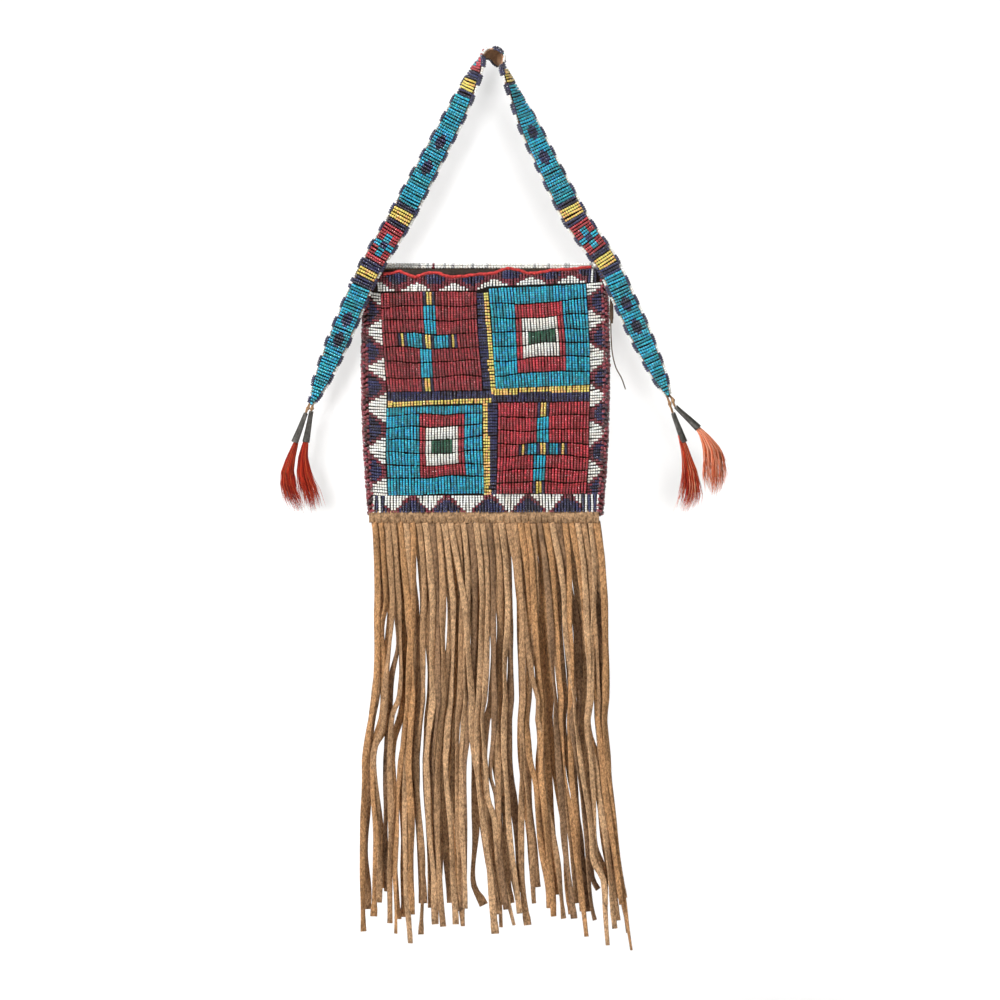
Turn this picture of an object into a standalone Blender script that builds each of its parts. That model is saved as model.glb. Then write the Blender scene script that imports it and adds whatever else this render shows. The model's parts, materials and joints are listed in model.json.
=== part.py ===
"""Beaded hide bag: a flat beaded pouch on a folded beaded strap, with a long hide fringe.

The origin is the middle of the strap's underside at its topmost fold, where the bag hangs.
+Z is up, the beaded face looks along -Y, and the strap lies in the plane Y = 0.
All lengths are in metres.
"""

import math

import bmesh
import bpy
from mathutils import Matrix, Vector

# Clearances
GAP = 0.0003
SEAM = 0.0005
FOLD_SEAM = 0.0010

# Hide and beadwork thicknesses
HIDE = 0.0015
BEADWORK = 0.0017

# Strap: widths, fold and twist
STRAP_TOP_WIDTH = 0.0100
STRAP_WIDTH = 0.0146
STRAP_TAPER_LENGTH = 0.120
FOLD_RADIUS = 0.0050
FOLD_TURN_DEG = 75.0
TWIST_PEAK_DEG = 108.0
TWIST_PEAK_SHIFT = 0.0080
LEFT_TWIST_LENGTH = 0.0780
RIGHT_TWIST_LENGTH = 0.0620
FOLD_PULL_SHARE = 0.40
HIDE_MARGIN = 0.0004
BEADWORK_EDGE_SHARE = 0.55

# Pouch: overall size and place below the strap's fold
POUCH_SHIFT = 0.00325
POUCH_DROP = 0.1425
POUCH_WIDTH = 0.1605
POUCH_HEIGHT = 0.1600

# Strap: where each arm bends a little and where its tab begins and ends, from the pouch's top corners
LEFT_HINGE_OVERHANG = 0.0005
LEFT_HINGE_BELOW = 0.0114
LEFT_BEND_SHARES = (0.668, 0.680)
LEFT_TAB_REACH = 0.0327
LEFT_TAB_DROP = 0.0769
RIGHT_HINGE_OVERHANG = 0.0024
RIGHT_HINGE_BELOW = 0.0032
RIGHT_BEND_SHARES = (0.664, 0.720)
RIGHT_TAB_REACH = 0.0366
RIGHT_TAB_DROP = 0.0799

# Tabs: outline as shares of the tab's length and of its width
TAB_WIDTH = 0.0132
TAB_OUTLINE_SHARES = (
    (0.0, 1.0),
    (0.23, 1.0),
    (0.46, 1.0),
    (0.67, 0.83),
    (0.81, 0.69),
    (0.90, 0.47),
    (1.0, 0.15),
)
TAB_BEADWORK_END_SHARE = 0.97
TAB_EDGING_END_SHARE = 0.94
HINGE_CLEARANCE = 0.0004
FOLD_CLEARANCE = 0.0015

# Bead edging along the strap and the tabs
EDGING_WIDTH = 0.0017
EDGING_LUMP = 0.0007
EDGING_FRONT = 0.0013
EDGING_BACK = 0.0010
EDGING_PERIOD = 0.0140

# Pendants: thong, rolled cone and tuft at the tabs' tips
THONG_RADIUS = 0.0009
THONG_NECK_RADIUS = 0.00065
THONG_SEAT = 0.0009
THONG_INSERT = 0.0060
THONG_DROP = 0.0095
CONE_LENGTH = 0.0205
CONE_TOP_RADIUS = 0.0014
CONE_MOUTH_RADIUS = 0.0024
CONE_WALL = 0.00035
CONE_SIDES = 16
TUFT_LENGTH = 0.0430
TUFT_PLUG = 0.0060
TUFT_WIDTH = 0.0120
TUFT_DEPTH = 0.0070
TUFT_LOCKS = 9
TUFT_SWELL_SHARES = ((0.12, 0.42), (0.30, 0.68), (0.50, 0.88), (0.68, 1.0))
TUFT_FLATTEN_SHARE = 3.0
TUFT_TIP_SHARE = 0.24
TUFT_FALL_SHARES = (0.75, 0.25)
TUFT_FALL_TURN = 2.4
PENDANT_PAIR_SPACING = 0.0024

# Each pendant's label, side of the tip and tilt in degrees, then the shares of its thong and of its curl
LEFT_PENDANT_SHARES = (("outer_pendant", 1, 20.8, 0.54, -0.02), ("inner_pendant", -1, 10.0, 0.28, -0.10))
RIGHT_PENDANT_SHARES = (("inner_pendant", -1, 20.5, 1.0, -0.30), ("outer_pendant", 1, 45.0, 0.77, -0.45))

# Ties between the strap and the pouch's top corners, and the loose lace on the right
TIE_HEIGHT = 0.0022
TIE_WIDTH = 0.0030
TIE_DEPTH = 0.0054
RIGHT_TIE_WIDTH = 0.0102
RIGHT_TIE_INSET = 0.0074
TAIL_WIDTH = 0.0018
TAIL_THICKNESS = 0.0014
TAIL_LENGTH = 0.0380
TAIL_CLEARANCE = 0.0004
LACE_RADIUS = 0.0004
LACE_DEPTH = 0.0044
LACE_STEP = 0.0017
LACE_ROUTE = (
    (0.0019, 0.0),
    (0.0016, 0.0155),
    (0.0013, 0.0295),
    (0.0014, 0.0425),
    (0.0022, 0.0555),
    (0.0045, 0.0655),
    (0.0082, 0.0725),
    (0.0109, 0.0800),
)

# Pouch: panels, seams and rolled edges
POUCH_SETBACK = 0.0075
POUCH_SEAM_GAP = 0.0003
POUCH_SWELL = 0.0045
POUCH_BACK_FLAT = 0.0022
SIDE_BOW_SHARE = 0.156
WIDEST_SHARE = 0.40
SWELL_SIDE_POWER = 2.4
SWELL_FOOT_POWER = 4.0
PANEL_STEP = 0.0125
MOUTH_STEP = 0.0100
EDGE_BEADING = 0.0017
BACK_RISE = 0.0019
PIPING_HEIGHT = 0.0017
RIM_HEIGHT = 0.0023
RIM_OVERHANG = 0.0005

# Beadwork pattern on the front panel
SIDE_BORDER = 0.0125
LEFT_TOP_BORDER = 0.0145
RIGHT_TOP_BORDER = 0.0110
BOTTOM_BORDER = 0.0130
DIVIDER = 0.0064
DIVIDER_SHIFT = 0.0004
LEFT_DIVIDER_SHARE = 0.498
RIGHT_DIVIDER_SHARE = 0.475
LEVEL_DIVIDER = 0.0098
CROSS_ARM_SHARE = 0.15
CROSS_HEIGHT_SHARE = 0.88
UPPER_CROSS_WIDTH_SHARE = 0.70
LOWER_CROSS_WIDTH_SHARE = 0.55
FRAME_SHARES = (0.48, 0.66)
SQUARE_SHARES = (0.37, 0.41)
CENTRE_SHARES = (0.25, 0.145)

# Hem and fringe
HEM_HEIGHT = 0.0045
HEM_THICKNESS = 0.0034
HEM_LIP = 0.0008
HEM_TAPER = 0.0032
HEM_SIDE_MARGIN = 0.0020
FRINGE_DROP = 0.0004
FRINGE_LENGTH = 0.2790
FRINGE_HIDE = 0.0014
FRINGE_LAYER_GAP = 0.0005
FRINGE_BAND = 0.0030
FRINGE_THONGS = 36
FRINGE_THONG_SHARE = 0.78
FRINGE_ROW_SHARES = (0.0, 0.10, 0.22, 0.35, 0.48, 0.61, 0.74, 0.87, 1.0)
FRINGE_SHORTEST_SHARE = 0.90
FRINGE_FLARE_SHARE = 0.05
FRINGE_SWEEP = 0.0140
FRINGE_WAVE = 0.0022

LEFT = -1
RIGHT = 1
FRONT = -1
BACK = 1


def clear_scene():
    """Remove whatever the scene holds."""
    for obj in list(bpy.data.objects):
        bpy.data.objects.remove(obj, do_unlink=True)


# Materials


def make_material(name, colour, roughness=0.6, metallic=0.0):
    """A Principled material of one colour."""
    material = bpy.data.materials.new(name)
    material.use_nodes = True
    shader = material.node_tree.nodes["Principled BSDF"]
    shader.inputs["Base Color"].default_value = (*colour, 1.0)
    shader.inputs["Roughness"].default_value = roughness
    shader.inputs["Metallic"].default_value = metallic
    material.diffuse_color = (*colour, 1.0)
    return material


HIDE_TAN = (0.36, 0.21, 0.11)
HIDE_DARK = (0.14, 0.07, 0.035)
HIDE_BROWN = (0.30, 0.17, 0.08)
TURQUOISE = (0.02, 0.30, 0.36)
NAVY = (0.025, 0.025, 0.12)
BRICK_RED = (0.30, 0.025, 0.025)
DARK_RED = (0.12, 0.012, 0.018)
PIPING_RED = (0.42, 0.03, 0.04)
WHITE_BEAD = (0.75, 0.71, 0.62)
GREEN_BEAD = (0.01, 0.10, 0.05)
TIN_GREY = (0.16, 0.16, 0.17)
HAIR_RED = (0.50, 0.045, 0.015)


# Mesh helpers


def add_object(name, bm, colour, origin=None, roughness=0.6, metallic=0.0):
    """Turn a bmesh given in world places into one named object about its origin."""
    origin = origin or Vector((0.0, 0.0, 0.0))
    bmesh.ops.recalc_face_normals(bm, faces=bm.faces)
    bmesh.ops.translate(bm, vec=-origin, verts=bm.verts)
    mesh = bpy.data.meshes.new(name)
    bm.to_mesh(mesh)
    bm.free()
    mesh.materials.append(make_material(name, colour, roughness, metallic))
    obj = bpy.data.objects.new(name, mesh)
    obj.location = origin
    bpy.context.scene.collection.objects.link(obj)
    return obj


def loft(bm, sections):
    """Join closed sections of equal count into one capped body."""
    rings = [[bm.verts.new(point) for point in section] for section in sections]
    count = len(rings[0])
    for ring, after in zip(rings, rings[1:]):
        for i in range(count):
            j = (i + 1) % count
            bm.faces.new((ring[i], ring[j], after[j]))
            bm.faces.new((ring[i], after[j], after[i]))
    bm.faces.new(rings[0])
    bm.faces.new(rings[-1])
    return rings


def lofted_object(name, sections, colour, origin=None):
    bm = bmesh.new()
    loft(bm, sections)
    return add_object(name, bm, colour, origin)


def blend_shares(table, share):
    """Read a table of (share, value) pairs, straight between its rows."""
    for (low, value), (high, after) in zip(table, table[1:]):
        if share <= high:
            return value + (after - value) * (share - low) / (high - low)
    return table[-1][1]


def spread(low, high, step):
    """Even stations from low to high, no further apart than the step."""
    count = max(1, math.ceil((high - low) / step))
    return [low + (high - low) * i / count for i in range(count + 1)]


# Strap centre line


def hermite(start, start_pull, end, end_pull, t):
    """Point on a cubic curve that leaves and arrives along the two pulls."""
    s = 1.0 - t
    return (
        start * (s * s * (1.0 + 2.0 * t))
        + start_pull * (t * s * s)
        + end * (t * t * (3.0 - 2.0 * t))
        - end_pull * (t * t * s)
    )


class Arm:
    """One half of the strap's hide strip, from the middle of the fold to the tab's hinge and tip."""

    def __init__(self, side, hinge, bend_shares, tab, twist_length):
        self.side = side
        self.name = "left" if side == LEFT else "right"
        self.hinge = Vector((side * hinge[0], 0.0, -hinge[1]))
        self.bend = Vector((self.hinge.x * bend_shares[0], 0.0, self.hinge.z * bend_shares[1]))
        self.tip = self.hinge + Vector((side * tab[0], 0.0, -tab[1]))
        self.twist_length = twist_length
        self.tab_length = (self.tip - self.hinge).length
        self.tab_along = (self.tip - self.hinge).normalized()
        self.tab_across = Vector((-side * self.tab_along.z, 0.0, side * self.tab_along.x))
        self.points = self.centre_points()
        self.lengths = [0.0]
        for before, after in zip(self.points, self.points[1:]):
            self.lengths.append(self.lengths[-1] + (after - before).length)
        self.length = self.lengths[-1]

    def centre_points(self):
        """Fine points along the centre line: the fold's arc, then two smooth spans."""
        fold_centre = HIDE / 2.0 - FOLD_RADIUS
        turn = math.radians(FOLD_TURN_DEG)
        arc = []
        for step in spread(0.0, turn, turn / 12.0):
            reach = self.side * FOLD_RADIUS * math.sin(step)
            arc.append(Vector((reach, 0.0, fold_centre + FOLD_RADIUS * math.cos(step))))
        start = arc[-1]
        start_along = Vector((self.side * math.cos(turn), 0.0, -math.sin(turn)))
        bend_along = (self.hinge - start).normalized()
        first = (self.bend - start).length
        second = (self.hinge - self.bend).length
        points = list(arc)
        for t in spread(0.0, 1.0, 1.0 / 40.0)[1:]:
            pull = start_along * first * FOLD_PULL_SHARE
            points.append(hermite(start, pull, self.bend, bend_along * first, t))
        for t in spread(0.0, 1.0, 1.0 / 20.0)[1:]:
            points.append(hermite(self.bend, bend_along * second, self.hinge, self.tab_along * second, t))
        return points

    def place(self, distance):
        """Centre point and direction at a distance from the middle of the fold."""
        for i in range(1, len(self.points)):
            if distance <= self.lengths[i] or i == len(self.points) - 1:
                before = self.points[i - 1]
                after = self.points[i]
                share = (distance - self.lengths[i - 1]) / (self.lengths[i] - self.lengths[i - 1])
                return before.lerp(after, share), (after - before).normalized()

    def smooth_direction(self, distance):
        """Direction averaged over a short stretch, so that the strip bends evenly."""
        reach = EDGING_PERIOD / 16.0
        low = self.place(abs(distance - reach))[1]
        if distance < reach:
            low = Vector((low.x, 0.0, -low.z))
        high = self.place(min(distance + reach, self.length))[1]
        return (low + high).normalized() if distance < self.length else self.tab_along

    def frame(self, distance):
        """Centre point, width direction (outward) and bead-side direction of the twisted strip."""
        point = self.place(distance)[0]
        along = self.smooth_direction(distance) * self.side
        outward = Vector((-along.z, 0.0, along.x))
        signed = self.side * distance
        reach = LEFT_TWIST_LENGTH if signed < TWIST_PEAK_SHIFT else RIGHT_TWIST_LENGTH
        share = min(abs(signed - TWIST_PEAK_SHIFT) / reach, 1.0)
        twist = math.radians(TWIST_PEAK_DEG) * (1.0 - 3.0 * share ** 2 + 2.0 * share ** 3)
        back = Vector((0.0, 1.0, 0.0))
        width = outward * math.cos(twist) + back * math.sin(twist)
        bead_side = outward * math.sin(twist) - back * math.cos(twist)
        return point, width, bead_side

    def stations(self, start, end):
        """Distances for a strip's sections: a quarter period apart in the twist, twice that below it."""
        step = EDGING_PERIOD / 4.0
        count = math.floor(end / step)
        even = [step * i for i in range(count) if step * i <= self.twist_length or i % 2 == 0]
        clear = step / 3.0
        return [start] + [distance for distance in even if start + clear < distance < end - clear] + [end]

    def half_width(self, distance):
        """Half the hide's width, which grows from the fold down and settles to the tab's width."""
        share = min(distance / STRAP_TAPER_LENGTH, 1.0)
        full = STRAP_TOP_WIDTH + (STRAP_WIDTH - STRAP_TOP_WIDTH) * share
        late = max(0.0, (distance - STRAP_TAPER_LENGTH) / (self.length - STRAP_TAPER_LENGTH))
        return (full + (TAB_WIDTH - STRAP_WIDTH) * late) / 2.0

    def tab_half_width(self, distance):
        return TAB_WIDTH / 2.0 * blend_shares(TAB_OUTLINE_SHARES, distance / self.tab_length)

    def in_order(self, sections):
        """Sections run from the left tab to the right one, so that neighbours share their diagonals."""
        return sections[::-1] if self.side == LEFT else sections

    def section(self, distance, outline):
        """A section of the arm; the outline lists (across, out) places in the strip's frame."""
        point, width, bead_side = self.frame(distance)
        return [point + width * across + bead_side * out for across, out in outline]

    def tab_section(self, distance, outline):
        """A section of the tab, which lies flat below the hinge."""
        point = self.hinge + self.tab_along * distance
        front = Vector((0.0, -1.0, 0.0))
        return [point + self.tab_across * across + front * out for across, out in outline]


POUCH_LEFT_REACH = POUCH_WIDTH / 2.0 + POUCH_SHIFT
POUCH_RIGHT_REACH = POUCH_WIDTH / 2.0 - POUCH_SHIFT
LEFT_ARM = Arm(
    LEFT,
    (POUCH_LEFT_REACH + LEFT_HINGE_OVERHANG, POUCH_DROP + LEFT_HINGE_BELOW),
    LEFT_BEND_SHARES,
    (LEFT_TAB_REACH, LEFT_TAB_DROP),
    LEFT_TWIST_LENGTH,
)
RIGHT_ARM = Arm(
    RIGHT,
    (POUCH_RIGHT_REACH + RIGHT_HINGE_OVERHANG, POUCH_DROP + RIGHT_HINGE_BELOW),
    RIGHT_BEND_SHARES,
    (RIGHT_TAB_REACH, RIGHT_TAB_DROP),
    RIGHT_TWIST_LENGTH,
)
ARMS = (LEFT_ARM, RIGHT_ARM)


# Strap pieces


def hide_outline(half):
    """A flat strip's section."""
    return [(-half, -HIDE / 2.0), (half, -HIDE / 2.0), (half, HIDE / 2.0), (-half, HIDE / 2.0)]


def beadwork_outline(half):
    """A bead row's section: flat behind, a little lower at both ends."""
    reach = half - HIDE_MARGIN
    low = HIDE / 2.0 + GAP
    edge = low + BEADWORK * BEADWORK_EDGE_SHARE
    high = low + BEADWORK
    return [
        (reach, low),
        (-reach, low),
        (-reach, edge),
        (-reach / 2.0, high),
        (reach / 2.0, high),
        (reach, edge),
    ]


def edging_outline(half, lump, sign):
    """The wrapped edging's section beside the hide's edge; lumps stand out further."""
    inner = half + GAP
    outer = inner + EDGING_WIDTH + (EDGING_LUMP if lump else 0.0)
    middle = (inner + outer) / 2.0
    places = [
        (inner, -EDGING_BACK),
        (middle, -EDGING_BACK),
        (outer, 0.0),
        (middle, EDGING_FRONT),
        (inner, EDGING_FRONT),
    ]
    return [(sign * across, out) for across, out in places]


def edging_stations(start, end):
    """Distances along an edging, a quarter period apart, with the lump flag of each."""
    step = EDGING_PERIOD / 4.0
    clear = step * 0.3
    even = [step * i for i in range(1, math.ceil(end / step))]
    inner = [distance for distance in even if start + clear < distance < end - clear]
    return [(distance, round(distance / step) % 4 in (0, 1)) for distance in [start] + inner + [end]]


def make_strap_core():
    """The hide strip of both arms, in one piece from hinge to hinge."""
    sections = []
    for arm in ARMS:
        stations = arm.stations(0.0, arm.length - HINGE_CLEARANCE)
        half = [arm.section(distance, hide_outline(arm.half_width(distance))) for distance in stations]
        sections = sections + arm.in_order(half)[len(sections) > 0 :]
    return lofted_object("strap_core", sections, HIDE_BROWN)


def make_arm_beadwork(arm):
    stations = arm.stations(FOLD_SEAM / 2.0, arm.length - FOLD_CLEARANCE)
    sections = [arm.section(distance, beadwork_outline(arm.half_width(distance))) for distance in stations]
    return lofted_object(f"{arm.name}_arm_beadwork", arm.in_order(sections), TURQUOISE)


def make_arm_edging(arm, sign, label):
    sections = []
    for distance, lump in edging_stations(FOLD_SEAM / 2.0, arm.length - FOLD_CLEARANCE):
        outline = edging_outline(arm.half_width(distance), lump, sign)
        sections.append(arm.section(distance, outline))
    return lofted_object(f"{arm.name}_arm_{label}_edging", arm.in_order(sections), NAVY)


def make_tab_core(arm):
    sections = []
    for share, _ in TAB_OUTLINE_SHARES:
        distance = max(share * arm.tab_length, HINGE_CLEARANCE)
        sections.append(arm.tab_section(distance, hide_outline(arm.tab_half_width(distance))))
    return lofted_object(f"{arm.name}_tab_core", sections, HIDE_BROWN, arm.hinge)


def make_tab_beadwork(arm):
    stations = [share for share, _ in TAB_OUTLINE_SHARES[:-1]] + [TAB_BEADWORK_END_SHARE]
    sections = []
    for share in stations:
        distance = max(share * arm.tab_length, FOLD_CLEARANCE)
        sections.append(arm.tab_section(distance, beadwork_outline(arm.tab_half_width(distance))))
    return lofted_object(f"{arm.name}_tab_beadwork", sections, TURQUOISE, arm.hinge)


def make_tab_edging(arm, sign, label):
    end = TAB_EDGING_END_SHARE * arm.tab_length
    sections = []
    for distance, lump in edging_stations(FOLD_CLEARANCE, end):
        outline = edging_outline(arm.tab_half_width(distance), lump, sign)
        sections.append(arm.tab_section(distance, outline))
    return lofted_object(f"{arm.name}_tab_{label}_edging", sections, NAVY, arm.hinge)


# Ties and lace

PIPING_TOP = -POUCH_DROP + GAP + PIPING_HEIGHT
TIE_BOTTOM = PIPING_TOP + GAP


def box_sections(low, high):
    """The lower and the upper face of a box between two corners."""
    corners = ((low[0], low[1]), (high[0], low[1]), (high[0], high[1]), (low[0], high[1]))
    return [[Vector((x, y, z)) for x, y in corners] for z in (low[2], high[2])]


def strap_reach(arm, drop):
    """How far sideways the arm's centre line is at a depth below the origin."""
    nearest = min(arm.points, key=lambda point: abs(point.z + drop))
    return nearest.x


def make_left_tie():
    """A short hide tie from the strap's back over the pouch's top corner."""
    front = HIDE / 2.0 + GAP
    middle = strap_reach(LEFT_ARM, POUCH_DROP - TIE_HEIGHT)
    low = (middle - TIE_WIDTH / 2.0, front, TIE_BOTTOM)
    high = (middle + TIE_WIDTH / 2.0, front + TIE_DEPTH, TIE_BOTTOM + TIE_HEIGHT)
    return lofted_object("left_tie", box_sections(low, high), HIDE_DARK)


def make_right_tie():
    """The right tie, with the flat end of its thong hanging outside the pouch's edge."""
    back = HIDE / 2.0 + GAP
    start = POUCH_RIGHT_REACH - RIGHT_TIE_INSET
    block = box_sections(
        (start, back, TIE_BOTTOM),
        (start + RIGHT_TIE_WIDTH, back + TIE_DEPTH, TIE_BOTTOM + TIE_HEIGHT),
    )
    tail_start = POUCH_RIGHT_REACH + TAIL_CLEARANCE
    tail_front = EDGING_BACK + GAP
    tail = box_sections(
        (tail_start, tail_front, TIE_BOTTOM - TAIL_LENGTH),
        (tail_start + TAIL_WIDTH, tail_front + TAIL_THICKNESS, TIE_BOTTOM + TIE_HEIGHT / 2.0),
    )
    guide = lofted_object("right_tie_tail_guide", tail, HIDE_DARK)
    guide.hide_render = True
    guide.display_type = "WIRE"
    body = lofted_object("right_tie", block, HIDE_DARK)
    union = body.modifiers.new("tail", "BOOLEAN")
    union.operation = "UNION"
    union.solver = "EXACT"
    union.object = guide
    return body


def smooth_route(route, step):
    """Even points along a smooth curve through a route's own points."""
    ends = [route[0] * 2.0 - route[1]] + route + [route[-1] * 2.0 - route[-2]]
    fine = []
    for i in range(1, len(ends) - 2):
        before, start, end, after = ends[i - 1 : i + 3]
        for t in spread(0.0, 1.0, 1.0 / 16.0)[:-1]:
            fine.append(hermite(start, (end - before) / 2.0, end, (after - start) / 2.0, t))
    fine.append(route[-1])
    total = sum((b - a).length for a, b in zip(fine, fine[1:]))
    spacing = total / round(total / step)
    points = [fine[0]]
    travelled = 0.0
    for a, b in zip(fine, fine[1:]):
        stretch = (b - a).length
        while travelled + stretch >= spacing * len(points) - GAP / 100.0:
            points.append(a.lerp(b, min(1.0, (spacing * len(points) - travelled) / stretch)))
        travelled += stretch
    return points


def make_right_tie_lace():
    """The thin lace that hangs loose from the right tie."""
    top = TIE_BOTTOM - GAP
    route = [Vector((POUCH_RIGHT_REACH + across, LACE_DEPTH, top - drop)) for across, drop in LACE_ROUTE]
    points = smooth_route(route, LACE_STEP)
    curve = bpy.data.curves.new("right_tie_lace", "CURVE")
    curve.dimensions = "3D"
    curve.bevel_depth = LACE_RADIUS
    curve.bevel_resolution = 2
    curve.use_fill_caps = True
    spline = curve.splines.new("POLY")
    spline.points.add(len(points) - 1)
    for knot, place in zip(spline.points, points):
        knot.co = (*place, 1.0)
    curve.materials.append(make_material("right_tie_lace", HIDE_DARK))
    obj = bpy.data.objects.new("right_tie_lace", curve)
    bpy.context.scene.collection.objects.link(obj)
    return obj


# Pendants


class Pendant:
    """A thong, a rolled cone and a hair tuft that swing together below a tab's tip."""

    def __init__(self, arm, label, pair_sign, tilt_deg, thong_share, curl_share):
        self.name = f"{arm.name}_{label}"
        seat = arm.tip + arm.tab_along * THONG_SEAT
        self.pivot = seat + arm.tab_across * (pair_sign * PENDANT_PAIR_SPACING / 2.0)
        self.turn = Matrix.Rotation(math.radians(-arm.side * tilt_deg), 4, "Y")
        self.side = arm.side
        self.cone_top = THONG_DROP * thong_share
        self.curl_share = curl_share

    def ring(self, depth, radius, sides, shift=0.0, flat=1.0):
        """A ring around the pendant's axis, at a depth below the pivot."""
        places = []
        for i in range(sides):
            angle = 2.0 * math.pi * i / sides
            across = shift + radius * math.cos(angle)
            places.append(Vector((across, radius * flat * math.sin(angle), -depth)))
        return places

    def settle(self, obj):
        """Hang an object modelled about its own origin at the pivot, along the pendant's axis."""
        obj.matrix_world = Matrix.Translation(self.pivot) @ self.turn
        return obj


def cone_radius(share):
    return CONE_TOP_RADIUS + (CONE_MOUTH_RADIUS - CONE_TOP_RADIUS) * share


def make_thong(pendant):
    """The hide thong from the tab's tip into the cone's narrow end."""
    top = pendant.cone_top
    sections = [
        pendant.ring(-THONG_RADIUS / 2.0, THONG_RADIUS / 2.0, 8),
        pendant.ring(0.0, THONG_RADIUS, 8),
        pendant.ring(top - THONG_RADIUS, THONG_RADIUS, 8),
        pendant.ring(top - GAP, THONG_NECK_RADIUS, 8),
        pendant.ring(top + THONG_INSERT, THONG_NECK_RADIUS, 8),
    ]
    return pendant.settle(lofted_object(f"{pendant.name}_thong", sections, HIDE_TAN))


def make_cone(pendant):
    """A rolled sheet cone, open at both ends."""
    bm = bmesh.new()
    rings = []
    top = pendant.cone_top
    for share, wall in ((0.0, 0.0), (1.0, 0.0), (1.0, CONE_WALL), (0.0, CONE_WALL)):
        places = pendant.ring(top + CONE_LENGTH * share, cone_radius(share) - wall, CONE_SIDES)
        rings.append([bm.verts.new(place) for place in places])
    for ring, after in zip(rings, rings[1:] + rings[:1]):
        for i in range(CONE_SIDES):
            j = (i + 1) % CONE_SIDES
            bm.faces.new((ring[i], ring[j], after[j], after[i]))
    obj = add_object(f"{pendant.name}_cone", bm, TIN_GREY, roughness=0.45, metallic=0.9)
    return pendant.settle(obj)


def make_tuft(pendant):
    """A plug of hair held in the cone's mouth, swelling below it and parting into locks."""
    mouth = pendant.cone_top + CONE_LENGTH
    plug_share = 1.0 - TUFT_PLUG / CONE_LENGTH
    plug_top = cone_radius(plug_share) - CONE_WALL - GAP
    plug_end = cone_radius(1.0) - CONE_WALL - GAP
    flat = TUFT_DEPTH / TUFT_WIDTH
    curl = pendant.curl_share * TUFT_LENGTH

    def curl_at(share):
        return pendant.side * curl * share ** 2

    sections = [
        pendant.ring(mouth - TUFT_PLUG, plug_top, TUFT_LOCKS),
        pendant.ring(mouth, plug_end, TUFT_LOCKS),
    ]
    for share, width in TUFT_SWELL_SHARES:
        depth = mouth + TUFT_LENGTH * share
        radius = max(TUFT_WIDTH / 2.0 * width, plug_end)
        shape = flat + (1.0 - flat) * max(0.0, 1.0 - share * TUFT_FLATTEN_SHARE)
        sections.append(pendant.ring(depth, radius, TUFT_LOCKS, curl_at(share), shape))
    bm = bmesh.new()
    rings = loft(bm, sections)
    bm.faces.remove(bm.faces.get(rings[-1]))
    last_share, _ = TUFT_SWELL_SHARES[-1]
    last = rings[-1]
    centre = bm.verts.new(Vector((curl_at(last_share), 0.0, -(mouth + TUFT_LENGTH * last_share))))
    for i in range(TUFT_LOCKS):
        j = (i + 1) % TUFT_LOCKS
        wedge = (centre, last[i], last[j])
        middle = sum((vert.co for vert in wedge), Vector()) / 3.0
        fall = TUFT_FALL_SHARES[0] + TUFT_FALL_SHARES[1] * math.cos(i * TUFT_FALL_TURN)
        drop = TUFT_LENGTH * (1.0 - last_share) * fall
        target = middle + Vector((curl_at(1.0) - curl_at(last_share), 0.0, -drop))
        tips = [bm.verts.new(target + (vert.co - middle) * TUFT_TIP_SHARE) for vert in wedge]
        for a in range(3):
            b = (a + 1) % 3
            bm.faces.new((wedge[a], wedge[b], tips[b], tips[a]))
        bm.faces.new(tips)
    return pendant.settle(add_object(f"{pendant.name}_tuft", bm, HAIR_RED))


# Pouch shape

HALF_WIDTH = POUCH_WIDTH / 2.0 - EDGE_BEADING - GAP


def side_scale(depth):
    """The pouch's width at a depth below its top edge, as a share of its widest part."""
    return 1.0 - SIDE_BOW_SHARE * (depth / POUCH_HEIGHT - WIDEST_SHARE) ** 2


def half_gap(across, depth, face):
    """Half the space between the panels: swollen in the middle, closed at the sides and the foot."""
    side = min(abs(across) / HALF_WIDTH, 1.0)
    foot = min(max(depth / POUCH_HEIGHT, 0.0), 1.0)
    swell = POUCH_SWELL * (1.0 - side ** SWELL_SIDE_POWER) * (1.0 - foot ** SWELL_FOOT_POWER)
    if face == BACK:
        swell = min(swell, POUCH_BACK_FLAT)
    return POUCH_SEAM_GAP + swell


def pouch_place(across, depth, face, out):
    """A place on the pouch; out is the distance from the panel's inner face outward."""
    return Vector(
        (
            across * side_scale(depth) - POUCH_SHIFT,
            POUCH_SETBACK + face * (half_gap(across, depth, face) + out),
            -POUCH_DROP - depth,
        )
    )


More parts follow.
